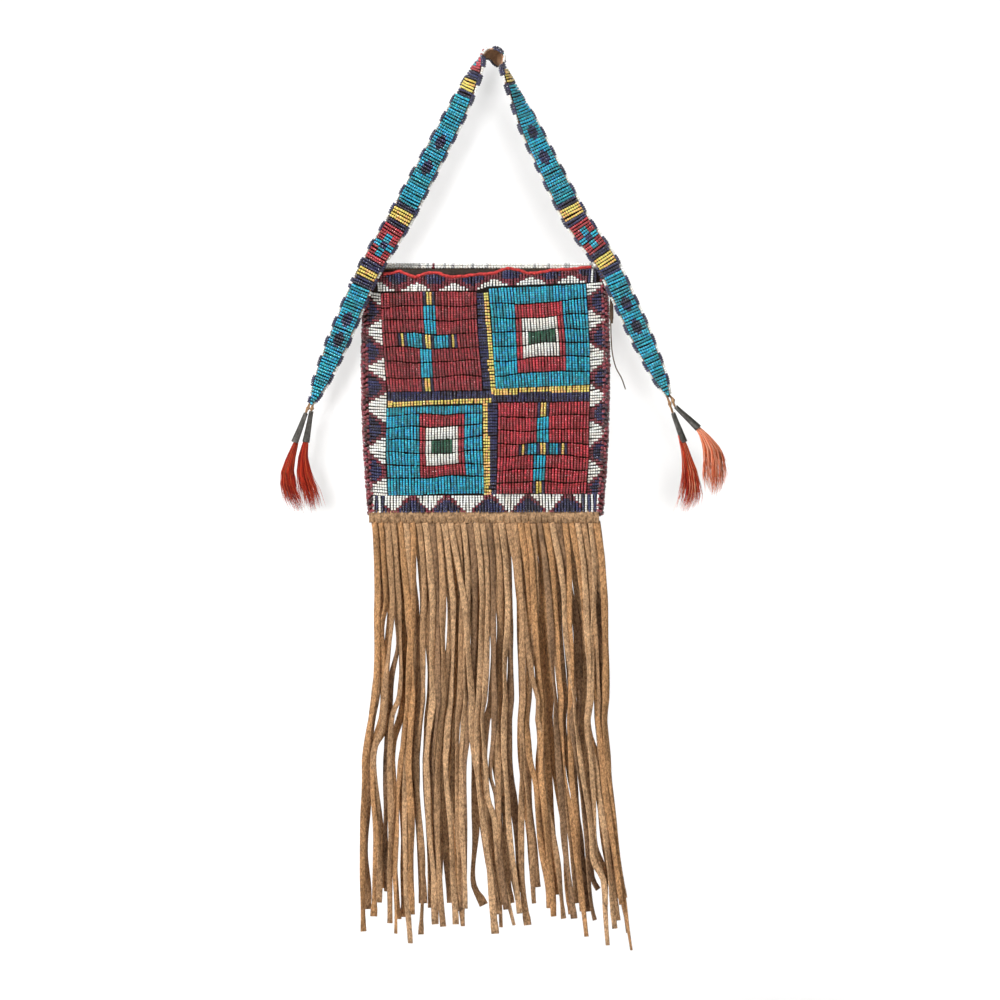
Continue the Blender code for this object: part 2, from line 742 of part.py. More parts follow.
def make_slab(name, rects, holes, inner, outer, colour, face=FRONT):
    """A curved sheet that fills rectangles (left, right, top, bottom) less any holes."""
    xs = sorted({value for rect in rects + holes for value in rect[:2]})
    zs = sorted({value for rect in rects + holes for value in rect[2:]})
    xs = refine(xs)
    zs = refine(zs)

    def filled(i, j):
        if not (0 <= i < len(xs) - 1 and 0 <= j < len(zs) - 1):
            return False
        x = (xs[i] + xs[i + 1]) / 2.0
        z = (zs[j] + zs[j + 1]) / 2.0

        def within(rect):
            left, right, top, bottom = rect
            return left < x < right and top < z < bottom

        return any(map(within, rects)) and not any(map(within, holes))

    bm = bmesh.new()
    verts = {}

    def corner(i, j, out):
        if (i, j, out) not in verts:
            verts[i, j, out] = bm.verts.new(pouch_place(xs[i], zs[j], face, out))
        return verts[i, j, out]

    def quad(places):
        bm.faces.new([corner(*place) for place in places])

    for i in range(len(xs) - 1):
        for j in range(len(zs) - 1):
            if not filled(i, j):
                continue
            for out in (inner, outer):
                quad(((i, j, out), (i + 1, j, out), (i + 1, j + 1, out), (i, j + 1, out)))
            walls = (
                (filled(i - 1, j), (i, j), (i, j + 1)),
                (filled(i + 1, j), (i + 1, j), (i + 1, j + 1)),
                (filled(i, j - 1), (i, j), (i + 1, j)),
                (filled(i, j + 1), (i, j + 1), (i + 1, j + 1)),
            )
            for joined, a, b in walls:
                if not joined:
                    quad(((*a, inner), (*b, inner), (*b, outer), (*a, outer)))
    return add_object(name, bm, colour, POUCH_HINGE)


def refine(lines):
    """Add lines so that no step of the grid is longer than the panel step."""
    fine = [lines[0]]
    for low, high in zip(lines, lines[1:]):
        if high > low:
            fine.extend(spread(low, high, PANEL_STEP)[1:])
    return fine


RIM_TOP = -POUCH_DROP + BACK_RISE + GAP + RIM_HEIGHT
POUCH_HINGE = Vector((-POUCH_SHIFT, POUCH_SETBACK, RIM_TOP + GAP))


def make_front_panel():
    rect = (-HALF_WIDTH, HALF_WIDTH, 0.0, POUCH_HEIGHT)
    return make_slab("front_panel", [rect], [], 0.0, HIDE, HIDE_BROWN)


def make_back_panel():
    rect = (-HALF_WIDTH, HALF_WIDTH, -BACK_RISE, POUCH_HEIGHT)
    return make_slab("back_panel", [rect], [], 0.0, HIDE, HIDE_TAN, BACK)


def make_edge_beading(side, label):
    """The whipped beads that wrap both panels' side edges."""
    inner = HALF_WIDTH + GAP
    sections = []
    for depth in spread(0.0, POUCH_HEIGHT, PANEL_STEP):
        front = pouch_place(inner, depth, FRONT, HIDE + GAP + BEADWORK)
        back = pouch_place(inner, depth, BACK, HIDE)
        near = side * (front.x + POUCH_SHIFT) - POUCH_SHIFT
        far = near + side * EDGE_BEADING
        middle = (front.y + back.y) / 2.0
        sections.append(
            [
                Vector((near, front.y, front.z)),
                Vector((far - side * EDGE_BEADING / 2.0, front.y, front.z)),
                Vector((far, middle, front.z)),
                Vector((far - side * EDGE_BEADING / 2.0, back.y, front.z)),
                Vector((near, back.y, front.z)),
            ]
        )
    return lofted_object(f"{label}_edge_beading", sections, DARK_RED, POUCH_HINGE)


def make_mouth_roll(name, face, inner, outer, rise, height, colour):
    """A rolled edge along a panel's top: an eight-sided bar that follows the panel's curve."""
    sections = []
    for across in spread(-HALF_WIDTH, HALF_WIDTH, MOUTH_STEP):
        base = pouch_place(across, -rise - GAP, face, inner)
        depth = face * (outer - inner)
        shape = ((0.0, 0.0), (1.0, 0.0), (1.0, 0.7), (0.7, 1.0), (0.3, 1.0), (0.0, 0.7))
        sections.append([base + Vector((0.0, depth * y, height * z)) for y, z in shape])
    return lofted_object(name, sections, colour, POUCH_HINGE)


# Beadwork on the front panel

SKIN_INNER = HIDE + GAP
SKIN_OUTER = HIDE + GAP + BEADWORK


def shrink(rect):
    left, right, top, bottom = rect
    return (left + SEAM / 2.0, right - SEAM / 2.0, top + SEAM / 2.0, bottom - SEAM / 2.0)


def grow(rect):
    left, right, top, bottom = rect
    return (left - SEAM / 2.0, right + SEAM / 2.0, top - SEAM / 2.0, bottom + SEAM / 2.0)


def bead_field(name, rects, holes, colour):
    """One colour field of the beadwork skin, a seam away from its neighbours."""
    shrunk = [shrink(rect) for rect in rects]
    grown = [grow(hole) for hole in holes]
    return make_slab(name, shrunk, grown, SKIN_INNER, SKIN_OUTER, colour)


def centred(rect, width_share, height_share):
    """A rectangle in the middle of another, as shares of its width and height."""
    left, right, top, bottom = rect
    x, z = (left + right) / 2.0, (top + bottom) / 2.0
    width, height = (right - left) * width_share, (bottom - top) * height_share
    return (x - width / 2.0, x + width / 2.0, z - height / 2.0, z + height / 2.0)


FIELD_LEFT = -HALF_WIDTH + SIDE_BORDER
FIELD_RIGHT = HALF_WIDTH - SIDE_BORDER
DIVIDER_LEFT = DIVIDER_SHIFT - DIVIDER / 2.0
DIVIDER_RIGHT = DIVIDER_SHIFT + DIVIDER / 2.0
FIELD_BOTTOM = POUCH_HEIGHT - BOTTOM_BORDER
LEFT_DIVIDER_DROP = POUCH_HEIGHT * LEFT_DIVIDER_SHARE
RIGHT_DIVIDER_DROP = POUCH_HEIGHT * RIGHT_DIVIDER_SHARE
LEFT_FOOT = LEFT_DIVIDER_DROP + LEVEL_DIVIDER
RIGHT_FOOT = RIGHT_DIVIDER_DROP + LEVEL_DIVIDER

UPPER_LEFT = (FIELD_LEFT, DIVIDER_LEFT, LEFT_TOP_BORDER, LEFT_DIVIDER_DROP)
UPPER_RIGHT = (DIVIDER_RIGHT, FIELD_RIGHT, RIGHT_TOP_BORDER, RIGHT_DIVIDER_DROP)
LOWER_LEFT = (FIELD_LEFT, DIVIDER_LEFT, LEFT_FOOT, FIELD_BOTTOM)
LOWER_RIGHT = (DIVIDER_RIGHT, FIELD_RIGHT, RIGHT_FOOT, FIELD_BOTTOM)


def make_cross_field(label, rect, cross_width_share, colour, cross_colour):
    """A field with a straight cross let into it."""
    cross = [
        centred(rect, CROSS_ARM_SHARE, CROSS_HEIGHT_SHARE),
        centred(rect, cross_width_share, CROSS_ARM_SHARE),
    ]
    bead_field(f"{label}_field", [rect], cross, colour)
    bead_field(f"{label}_cross", cross, [], cross_colour)


def make_box_field(label, rect):
    """A field with a frame, a square and a small centre, one inside the other."""
    frame = centred(rect, *FRAME_SHARES)
    square = centred(rect, *SQUARE_SHARES)
    centre = centred(rect, *CENTRE_SHARES)
    bead_field(f"{label}_field", [rect], [frame], TURQUOISE)
    bead_field(f"{label}_frame", [frame], [square], BRICK_RED)
    bead_field(f"{label}_square", [square], [centre], WHITE_BEAD)
    bead_field(f"{label}_centre", [centre], [], GREEN_BEAD)


def make_borders():
    """The four borders round the pattern; the side borders run between top and bottom."""
    top_rects = [
        (-HALF_WIDTH, DIVIDER_RIGHT, 0.0, LEFT_TOP_BORDER),
        (DIVIDER_LEFT, HALF_WIDTH, 0.0, RIGHT_TOP_BORDER),
    ]
    bead_field("top_border", top_rects, [], WHITE_BEAD)
    bead_field("bottom_border", [(-HALF_WIDTH, HALF_WIDTH, FIELD_BOTTOM, POUCH_HEIGHT)], [], WHITE_BEAD)
    bead_field("left_border", [(-HALF_WIDTH, FIELD_LEFT, LEFT_TOP_BORDER, FIELD_BOTTOM)], [], NAVY)
    bead_field("right_border", [(FIELD_RIGHT, HALF_WIDTH, RIGHT_TOP_BORDER, FIELD_BOTTOM)], [], DARK_RED)


def make_dividers():
    """The four dividers between the fields."""
    dividers = (
        ("upper", (DIVIDER_LEFT, DIVIDER_RIGHT, LEFT_TOP_BORDER, RIGHT_DIVIDER_DROP)),
        ("lower", (DIVIDER_LEFT, DIVIDER_RIGHT, LEFT_FOOT, FIELD_BOTTOM)),
        ("left", (FIELD_LEFT, DIVIDER_LEFT, LEFT_DIVIDER_DROP, LEFT_FOOT)),
        ("right", (DIVIDER_LEFT, FIELD_RIGHT, RIGHT_DIVIDER_DROP, RIGHT_FOOT)),
    )
    for label, rect in dividers:
        bead_field(f"{label}_divider", [rect], [], NAVY)


# Hem and fringe

HEM_TOP = -POUCH_DROP - POUCH_HEIGHT - GAP
FRINGE_AXIS = Vector((-POUCH_SHIFT, POUCH_SETBACK, HEM_TOP - HEM_HEIGHT - FRINGE_DROP))
HEM_HALF = HALF_WIDTH * side_scale(POUCH_HEIGHT) - HEM_SIDE_MARGIN


def make_hem():
    """The hide strip that carries the fringe, thinned to a lip at its lower edge."""
    sections = []
    for x in (-HEM_HALF, HEM_HALF):
        shape = (
            (-HEM_THICKNESS / 2.0, 0.0),
            (HEM_THICKNESS / 2.0, 0.0),
            (HEM_THICKNESS / 2.0, -HEM_HEIGHT + HEM_TAPER),
            (HEM_LIP / 2.0, -HEM_HEIGHT),
            (-HEM_LIP / 2.0, -HEM_HEIGHT),
            (-HEM_THICKNESS / 2.0, -HEM_HEIGHT + HEM_TAPER),
        )
        sections.append([Vector((x - POUCH_SHIFT, POUCH_SETBACK + y, HEM_TOP + z)) for y, z in shape])
    return lofted_object("fringe_hem", sections, HIDE_TAN, POUCH_HINGE)


def fringe_x(across, share):
    """Where a thong's edge hangs: a slight flare, a slow wave and a sweep to the right at the foot."""
    u = across / HEM_HALF
    flare = across * FRINGE_FLARE_SHARE * share ** 2
    wave = FRINGE_WAVE * share * math.sin(2.0 * math.pi * (1.3 * share + 0.9 * u))
    sweep = FRINGE_SWEEP * max(u, 0.0) ** 2 * share ** 3
    return across + flare + wave + sweep - POUCH_SHIFT


def thong_length(index, layer):
    """Each thong's own length: a fixed uneven pattern between the shortest and the full length."""
    pattern = 0.5 + 0.5 * math.sin(index * 2.1 + layer * 1.7) * math.cos(index * 0.9 + layer)
    share = FRINGE_SHORTEST_SHARE + (1.0 - FRINGE_SHORTEST_SHARE) * pattern
    return (FRINGE_LENGTH - FRINGE_BAND) * share


def make_fringe(name, face):
    """One layer of the fringe: a band with long cut thongs."""
    pitch = 2.0 * HEM_HALF / FRINGE_THONGS
    margin = pitch * (1.0 - FRINGE_THONG_SHARE) / 2.0
    inner = face * FRINGE_LAYER_GAP / 2.0
    outer = inner + face * FRINGE_HIDE
    top = FRINGE_AXIS.z - FRINGE_DROP
    edges = []
    for i in range(FRINGE_THONGS):
        left = -HEM_HALF + i * pitch
        edges.extend((left + margin, left + pitch - margin))
    bm = bmesh.new()

    def row(edge, share, z):
        x = fringe_x(edge, share)
        return [bm.verts.new(Vector((x, POUCH_SETBACK + y, z))) for y in (inner, outer)]

    upper = [row(edge, 0.0, top) for edge in edges]
    lower = [row(edge, 0.0, top - FRINGE_BAND) for edge in edges]
    for k in range(len(edges) - 1):
        for layer in (0, 1):
            bm.faces.new((upper[k][layer], upper[k + 1][layer], lower[k + 1][layer], lower[k][layer]))
        bm.faces.new((upper[k][0], upper[k + 1][0], upper[k + 1][1], upper[k][1]))
        if k % 2 == 1:
            bm.faces.new((lower[k][0], lower[k + 1][0], lower[k + 1][1], lower[k][1]))
    for k in (0, len(edges) - 1):
        bm.faces.new((upper[k][0], upper[k][1], lower[k][1], lower[k][0]))
    for i in range(FRINGE_THONGS):
        length = thong_length(i, 0 if face == FRONT else 1)
        left, right = lower[2 * i], lower[2 * i + 1]
        for share in FRINGE_ROW_SHARES[1:]:
            z = top - FRINGE_BAND - length * share
            next_left = row(edges[2 * i], share, z)
            next_right = row(edges[2 * i + 1], share, z)
            for layer in (0, 1):
                bm.faces.new((left[layer], right[layer], next_right[layer], next_left[layer]))
            bm.faces.new((left[0], left[1], next_left[1], next_left[0]))
            bm.faces.new((right[0], right[1], next_right[1], next_right[0]))
            left, right = next_left, next_right
        bm.faces.new((left[0], right[0], right[1], left[1]))
    return add_object(name, bm, HIDE_TAN, FRINGE_AXIS)


def build():
    clear_scene()
    make_strap_core()
    for arm in ARMS:
        make_arm_beadwork(arm)
        make_arm_edging(arm, 1, "outer")
        make_arm_edging(arm, -1, "inner")
        make_tab_core(arm)
        make_tab_beadwork(arm)
        make_tab_edging(arm, 1, "outer")
        make_tab_edging(arm, -1, "inner")
    make_left_tie()
    make_right_tie()
    make_right_tie_lace()
    for arm, rows in zip(ARMS, (LEFT_PENDANT_SHARES, RIGHT_PENDANT_SHARES)):
        for row in rows:
            pendant = Pendant(arm, *row)
            make_thong(pendant)
            make_cone(pendant)
            make_tuft(pendant)
    make_front_panel()
    make_back_panel()
    make_edge_beading(LEFT, "left")
    make_edge_beading(RIGHT, "right")
    make_mouth_roll("mouth_piping", FRONT, 0.0, SKIN_OUTER, 0.0, PIPING_HEIGHT, PIPING_RED)
    make_mouth_roll("back_mouth_rim", BACK, 0.0, HIDE + RIM_OVERHANG, BACK_RISE, RIM_HEIGHT, WHITE_BEAD)
    make_cross_field("upper_left", UPPER_LEFT, UPPER_CROSS_WIDTH_SHARE, BRICK_RED, TURQUOISE)
    make_box_field("upper_right", UPPER_RIGHT)
    make_box_field("lower_left", LOWER_LEFT)
    make_cross_field("lower_right", LOWER_RIGHT, LOWER_CROSS_WIDTH_SHARE, BRICK_RED, TURQUOISE)
    make_borders()
    make_dividers()
    make_hem()
    make_fringe("front_fringe", FRONT)
    make_fringe("back_fringe", BACK)


build()
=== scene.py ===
"""Looks of the beaded hide bag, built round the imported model. All lengths are in metres."""

import json
import math
from functools import partial

import bmesh
import bpy
import numpy as np
from mathutils import Matrix, Vector

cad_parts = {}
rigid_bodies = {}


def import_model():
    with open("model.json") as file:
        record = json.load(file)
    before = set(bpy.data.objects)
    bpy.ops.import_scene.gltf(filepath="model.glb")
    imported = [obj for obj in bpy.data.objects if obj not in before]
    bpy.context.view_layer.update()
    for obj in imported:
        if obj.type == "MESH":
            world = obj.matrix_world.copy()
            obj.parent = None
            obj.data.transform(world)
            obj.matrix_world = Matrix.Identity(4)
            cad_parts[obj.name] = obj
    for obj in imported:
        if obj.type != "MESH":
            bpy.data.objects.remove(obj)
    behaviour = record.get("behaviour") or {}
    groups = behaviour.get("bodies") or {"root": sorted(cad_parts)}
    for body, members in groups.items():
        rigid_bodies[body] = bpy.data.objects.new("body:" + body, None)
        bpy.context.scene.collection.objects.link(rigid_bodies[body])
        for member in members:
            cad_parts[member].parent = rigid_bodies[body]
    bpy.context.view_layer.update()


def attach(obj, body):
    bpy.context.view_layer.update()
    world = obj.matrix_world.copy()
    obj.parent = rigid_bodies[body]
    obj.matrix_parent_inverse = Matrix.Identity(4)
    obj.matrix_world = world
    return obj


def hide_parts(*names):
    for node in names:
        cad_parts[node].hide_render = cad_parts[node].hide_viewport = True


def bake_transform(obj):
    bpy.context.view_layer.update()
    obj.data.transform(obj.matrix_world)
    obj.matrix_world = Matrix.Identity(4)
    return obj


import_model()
rng = np.random.default_rng(20)

# The photograph's scale, and the pixel of the origin
PIXEL = 0.00065
ORIGIN_PX = (490.5, 50.0)
IMAGE_PX = 1000

LEFT = -1
RIGHT = 1
FRONT = -1
BACK = 1


def at(px, py, y=0.0):
    """The place that a pixel of the photograph shows, at a depth."""
    return Vector(((px - ORIGIN_PX[0]) * PIXEL, y, (ORIGIN_PX[1] - py) * PIXEL))


def link(name, data):
    """A new object in the scene for a mesh, curve, lamp or camera."""
    obj = bpy.data.objects.new(name, data)
    bpy.context.scene.collection.objects.link(obj)
    return obj


def new_material(name):
    material = bpy.data.materials.new(name)
    material.use_nodes = True
    return material, material.node_tree.nodes, material.node_tree.links


def settle(piece, body, slot, *nodes):
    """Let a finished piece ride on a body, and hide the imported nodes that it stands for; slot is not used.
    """
    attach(piece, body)
    if nodes:
        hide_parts(*nodes)


# Camera, lamps and backdrop

CAMERA_DISTANCE = 3.0
SENSOR = 36.0


def make_camera():
    """A straight front view that frames what the photograph frames."""
    data = bpy.data.cameras.new("camera")
    data.sensor_width = SENSOR
    data.lens = SENSOR * CAMERA_DISTANCE / (IMAGE_PX * PIXEL)
    data.clip_start, data.clip_end = 0.05, 60.0
    camera = link("camera", data)
    camera.location = at(IMAGE_PX / 2.0, IMAGE_PX / 2.0, -CAMERA_DISTANCE)
    camera.rotation_euler = (math.pi / 2.0, 0.0, 0.0)
    bpy.context.scene.camera = camera


def make_lamp(name, place, size, power):
    """A square lamp that points at the object's middle."""
    data = bpy.data.lights.new(name, "AREA")
    data.shape = "SQUARE"
    data.size = size
    data.energy = power
    lamp = link(name, data)
    lamp.location = place
    lamp.rotation_euler = (Vector(OBJECT_MIDDLE) - Vector(place)).to_track_quat("-Z", "Y").to_euler()
    return lamp


def math_node(nodes, links, operation, first, second):
    """A maths node of two sources; a number stands for itself."""
    node = nodes.new("ShaderNodeMath")
    node.operation = operation
    for socket, source in zip(node.inputs, (first, second)):
        if isinstance(source, float):
            socket.default_value = source
        else:
            links.new(source, socket)
    return node.outputs[0]


def remapped(nodes, links, source, to_range, from_range=(0.0, 1.0), interpolation="LINEAR"):
    """A source brought from one range to another."""
    node = nodes.new("ShaderNodeMapRange")
    node.interpolation_type = interpolation
    for name, value in zip(("From Min", "From Max", "To Min", "To Max"), from_range + to_range):
        node.inputs[name].default_value = value
    links.new(source, node.inputs["Value"])
    return node.outputs[0]


def light_path(nodes, links, names):
    """1 for a ray of any of the named kinds, else 0."""
    path = nodes.new("ShaderNodeLightPath")
    last = path.outputs[names[0]]
    for name in names[1:]:
        last = math_node(nodes, links, "MAXIMUM", last, path.outputs[name])
    return last


def make_world(strength):
    """Plain light from all round, seen as white."""
    world = bpy.data.worlds.new("studio")
    bpy.context.scene.world = world
    world.use_nodes = True
    nodes, links = world.node_tree.nodes, world.node_tree.links
    nodes.clear()
    lit = nodes.new("ShaderNodeBackground")
    lit.inputs["Strength"].default_value = strength
    seen = nodes.new("ShaderNodeBackground")
    seen.inputs["Color"].default_value = (1.0, 1.0, 1.0, 1.0)
    mix = nodes.new("ShaderNodeMixShader")
    out = nodes.new("ShaderNodeOutputWorld")
    links.new(light_path(nodes, links, ("Is Camera Ray",)), mix.inputs[0])
    links.new(lit.outputs[0], mix.inputs[1])
    links.new(seen.outputs[0], mix.inputs[2])
    links.new(mix.outputs[0], out.inputs[0])


WALL_DEPTH = 0.235
FLOOR_LEVEL = -0.66
STAGE_HALF = 8.0
OBJECT_MIDDLE = (0.0, 0.0, -0.3)
STAGE_GREY = 0.80


def stage_material(name, glow, middle, reach, one_sided):
    """A pale matt surface that shows whiter further from its middle.

    It glows at glow up to the near end of reach and at 1 beyond the far end. A one-sided one lets every ray
    through but the camera's on its front.
    """
    material, nodes, links = new_material(name)
    nodes.clear()
    matt = nodes.new("ShaderNodeBsdfDiffuse")
    matt.inputs["Color"].default_value = (STAGE_GREY, STAGE_GREY, STAGE_GREY, 1.0)
    shine = nodes.new("ShaderNodeEmission")
    seen = light_path(nodes, links, ("Is Camera Ray", "Is Glossy Ray", "Is Transmission Ray"))
    links.new(seen, shine.inputs["Color"])
    away = nodes.new("ShaderNodeVectorMath")
    away.operation = "DISTANCE"
    links.new(nodes.new("ShaderNodeTexCoord").outputs["Object"], away.inputs[0])
    away.inputs[1].default_value = middle
    rise = remapped(nodes, links, away.outputs["Value"], (glow, 1.0), reach, "SMOOTHSTEP")
    links.new(rise, shine.inputs["Strength"])
    total = nodes.new("ShaderNodeAddShader")
    links.new(matt.outputs[0], total.inputs[0])
    links.new(shine.outputs[0], total.inputs[1])
    last = total.outputs[0]
    if one_sided:
        facing = nodes.new("ShaderNodeNewGeometry")
        front = math_node(nodes, links, "SUBTRACT", 1.0, facing.outputs["Backfacing"])
        shown = math_node(nodes, links, "MULTIPLY", front, light_path(nodes, links, ("Is Camera Ray",)))
        clear = nodes.new("ShaderNodeBsdfTransparent")
        mix = nodes.new("ShaderNodeMixShader")
        links.new(shown, mix.inputs[0])
        links.new(clear.outputs[0], mix.inputs[1])
        links.new(last, mix.inputs[2])
        last = mix.outputs[0]
    links.new(last, nodes.new("ShaderNodeOutputMaterial").inputs[0])
    return material


def make_stage():
    """Lay a floor, and hang and return a backdrop so far behind that the fringe can swing back freely."""
    half = STAGE_HALF
    square = ((-half, -half), (half, -half), (half, half), (-half, half))
    floor = [(x, y, FLOOR_LEVEL) for x, y in square]
    wall = [(x, WALL_DEPTH, FLOOR_LEVEL + z + half) for x, z in square]
    wall_middle = (0.0, WALL_DEPTH, OBJECT_MIDDLE[2])
    for name, corners, material in (
        ("floor", floor, stage_material("floor", 0.25, (0.0, 0.0, FLOOR_LEVEL), (0.35, 1.10), False)),
        ("backdrop", wall, stage_material("backdrop", 0.0, wall_middle, (0.50, 1.60), True)),
    ):
        mesh = bpy.data.meshes.new(name)
        mesh.from_pydata(corners, [], [(0, 1, 2, 3)])
        mesh.materials.append(material)
        obj = link(name, mesh)
    return obj


def light_only(lamps, obj, included):
    """Make lamps light one object alone, or all but that one."""
    name = f"lit_{obj.name}" if included else f"all_but_{obj.name}"
    group = bpy.data.collections.new(name)
    group.objects.link(obj)
    if not included:
        group.collection_objects[0].light_linking.link_state = "EXCLUDE"
    for lamp in lamps:
        lamp.light_linking.receiver_collection = group


bpy.context.scene.view_settings.view_transform = "Standard"
make_camera()
make_world(0.19)
object_lamps = [
    make_lamp("key", (-1.4, -1.3, 1.9), 0.45, 112.0),
    make_lamp("fill", (1.9, -2.1, 0.1), 1.2, 8.0),
    make_lamp("rim", (0.6, 2.4, 1.0), 1.3, 26.0),
]
# Lamps near the camera's line throw soft shadows of each arm and of the rest on the backdrop
shadow_lamps = {
    "left": make_lamp("shadow_left", (-0.14, -3.2, -0.24), 0.15, 54.0),
    "right": make_lamp("shadow_right", (0.18, -3.2, -0.24), 0.24, 46.0),
    "other": make_lamp("shadow_middle", (-0.075, -3.2, -0.12), 0.09, 16.0),
}
backdrop_piece = make_stage()
light_only(object_lamps, backdrop_piece, False)
light_only(shadow_lamps.values(), backdrop_piece, True)


# Materials


def shader_of(material):
    return material.node_tree.nodes["Principled BSDF"]


def plain(name, colour, roughness, specular, coat=0.0):
    """A Principled material whose values are the same all over."""
    material = new_material(name)[0]
    shader = shader_of(material)
    shader.inputs["Base Color"].default_value = (*colour, 1.0)
    shader.inputs["Roughness"].default_value = roughness
    shader.inputs["Coat Weight"].default_value = coat
    shader.inputs["Specular IOR Level"].default_value = specular
    material.diffuse_color = (*colour, 1.0)
    return material


def noise(nodes, links, source, scale, detail=4.0, roughness=0.6, stretch=None):
    """A noise texture over the object's own coordinates, stretched along an axis if asked."""
    texture = nodes.new("ShaderNodeTexNoise")
    texture.inputs["Scale"].default_value = scale
    texture.inputs["Detail"].default_value = detail
    texture.inputs["Roughness"].default_value = roughness
    if stretch:
        mapping = nodes.new("ShaderNodeMapping")
        mapping.inputs["Scale"].default_value = stretch
        links.new(source, mapping.inputs["Vector"])
        source = mapping.outputs[0]
    links.new(source, texture.inputs["Vector"])
    return texture.outputs["Fac"]


def ramp(nodes, links, source, stops):
    """A colour ramp; stops are (place, colour)."""
    node = nodes.new("ShaderNodeValToRGB")
    links.new(source, node.inputs["Fac"])
    while len(node.color_ramp.elements) < len(stops):
        node.color_ramp.elements.new(0.5)
    for element, (place, colour) in zip(node.color_ramp.elements, stops):
        element.position = place
        element.color = (*colour, 1.0)
    return node.outputs["Color"]


def multiplied(nodes, links, share, first, second):
    """The first colour times a share of the second."""
    node = nodes.new("ShaderNodeMix")
    node.data_type = "RGBA"
    node.blend_type = "MULTIPLY"
    node.inputs[0].default_value = share
    links.new(first, node.inputs[6])
    links.new(second, node.inputs[7])
    return node.outputs[2]


def bump(nodes, links, shader, height, strength, distance):
    """Relief on a shader's surface."""
    node = nodes.new("ShaderNodeBump")
    node.inputs["Strength"].default_value = strength
    node.inputs["Distance"].default_value = distance
    links.new(height, node.inputs["Height"])
    links.new(node.outputs[0], shader.inputs["Normal"])


def scaled(colour, share):
    """A lighter or darker colour."""
    return tuple(min(1.0, value * share) for value in colour)


SOIL_STOPS = ((0.30, (0.45, 0.38, 0.30)), (0.47, (0.92, 0.92, 0.92)), (0.70, (1.06, 1.05, 1.03)))
FLECK_STOPS = ((0.34, (0.34, 0.31, 0.28)), (0.50, (1.00, 0.98, 0.96)), (0.66, (1.75, 1.74, 1.70)))


def hide_material(name, colour, grain=(1.0, 1.0, 1.0), contrast=0.35, nap=0.5, flecks=0.85):
    """Brain-tanned hide: blotches, fine nap, darker soil and a soft bumpy surface."""
    material, nodes, links = new_material(name)
    shader = shader_of(material)
    source = nodes.new("ShaderNodeTexCoord").outputs["Object"]
    blotch = noise(nodes, links, source, 42.0, 5.0, 0.62)
    fibre = noise(nodes, links, source, 900.0, 3.0, 0.7, grain)
    speck = noise(nodes, links, source, 260.0, 6.0, 0.75, grain)
    light = ramp(nodes, links, blotch, (
        (0.28, scaled(colour, 1.0 - contrast)),
        (0.50, colour),
        (0.72, scaled(colour, 1.0 + contrast)),
    ))
    shade = multiplied(nodes, links, 0.75, light, ramp(nodes, links, speck, SOIL_STOPS))
    shade = multiplied(nodes, links, flecks, shade, ramp(nodes, links, fibre, FLECK_STOPS))
    links.new(shade, shader.inputs["Base Color"])
    links.new(remapped(nodes, links, speck, (0.80, 0.98)), shader.inputs["Roughness"])
    shader.inputs["Specular IOR Level"].default_value = 0.25
    shader.inputs["Sheen Weight"].default_value = 0.10
    shader.inputs["Sheen Roughness"].default_value = 0.6
    shader.inputs["Sheen Tint"].default_value = (0.95, 0.80, 0.62, 1.0)
    bump(nodes, links, shader, math_node(nodes, links, "ADD", speck, fibre), nap, 0.0005)
    return material


THONG_GRAIN = (1.0, 1.0, 0.60)
HIDE_TAN = hide_material("hide_tan", (0.38, 0.222, 0.114), THONG_GRAIN, contrast=0.22)
HIDE_PLAIN = hide_material("hide_plain", (0.37, 0.235, 0.13), contrast=0.28, flecks=0.22)
HIDE_BROWN = hide_material("hide_brown", (0.17, 0.085, 0.04), contrast=0.30, flecks=0.35)
HIDE_EDGE = hide_material("hide_edge", (0.46, 0.27, 0.17), contrast=0.20)
# Near-black hide for surfaces seen only between beads: soil and thread, and painted shade in the gaps
HIDE_SOIL_AND_SHADE = hide_material("hide_soiled", (0.030, 0.020, 0.016), contrast=0.30)
HIDE_TAN_LIGHT = hide_material("hide_tan_light", (0.48, 0.295, 0.160), THONG_GRAIN, contrast=0.22)
HIDE_TAN_DARK = hide_material("hide_tan_dark", (0.25, 0.145, 0.078), THONG_GRAIN, contrast=0.22)
HIDE_TAN_WARM = hide_material("hide_tan_warm", (0.42, 0.225, 0.100), THONG_GRAIN, contrast=0.22)
HIDE_DARK = hide_material("hide_dark", (0.075, 0.045, 0.028), contrast=0.30)
CLOTH_RED = hide_material("cloth_red", (0.56, 0.045, 0.045), contrast=0.25, nap=0.6)


def tin_material():
    """Old rolled tin: dull, streaked along the roll, with grey oxide."""
    material, nodes, links = new_material("tin")
    shader = shader_of(material)
    source = nodes.new("ShaderNodeTexCoord").outputs["Object"]
    stain = noise(nodes, links, source, 210.0, 6.0, 0.7)
    streak = noise(nodes, links, source, 900.0, 3.0, 0.6, (1.0, 1.0, 0.12))
    base = ramp(nodes, links, stain, (
        (0.30, (0.050, 0.046, 0.040)),
        (0.52, (0.115, 0.108, 0.098)),
        (0.75, (0.21, 0.20, 0.185)),
    ))
    line = ramp(nodes, links, streak, ((0.32, (0.66, 0.65, 0.64)), (0.60, (1.0, 1.0, 1.0))))
    links.new(multiplied(nodes, links, 0.7, base, line), shader.inputs["Base Color"])
    shader.inputs["Metallic"].default_value = 0.85
    links.new(remapped(nodes, links, stain, (0.62, 0.30)), shader.inputs["Roughness"])
    bump(nodes, links, shader, streak, 0.35, 0.0002)
    return material


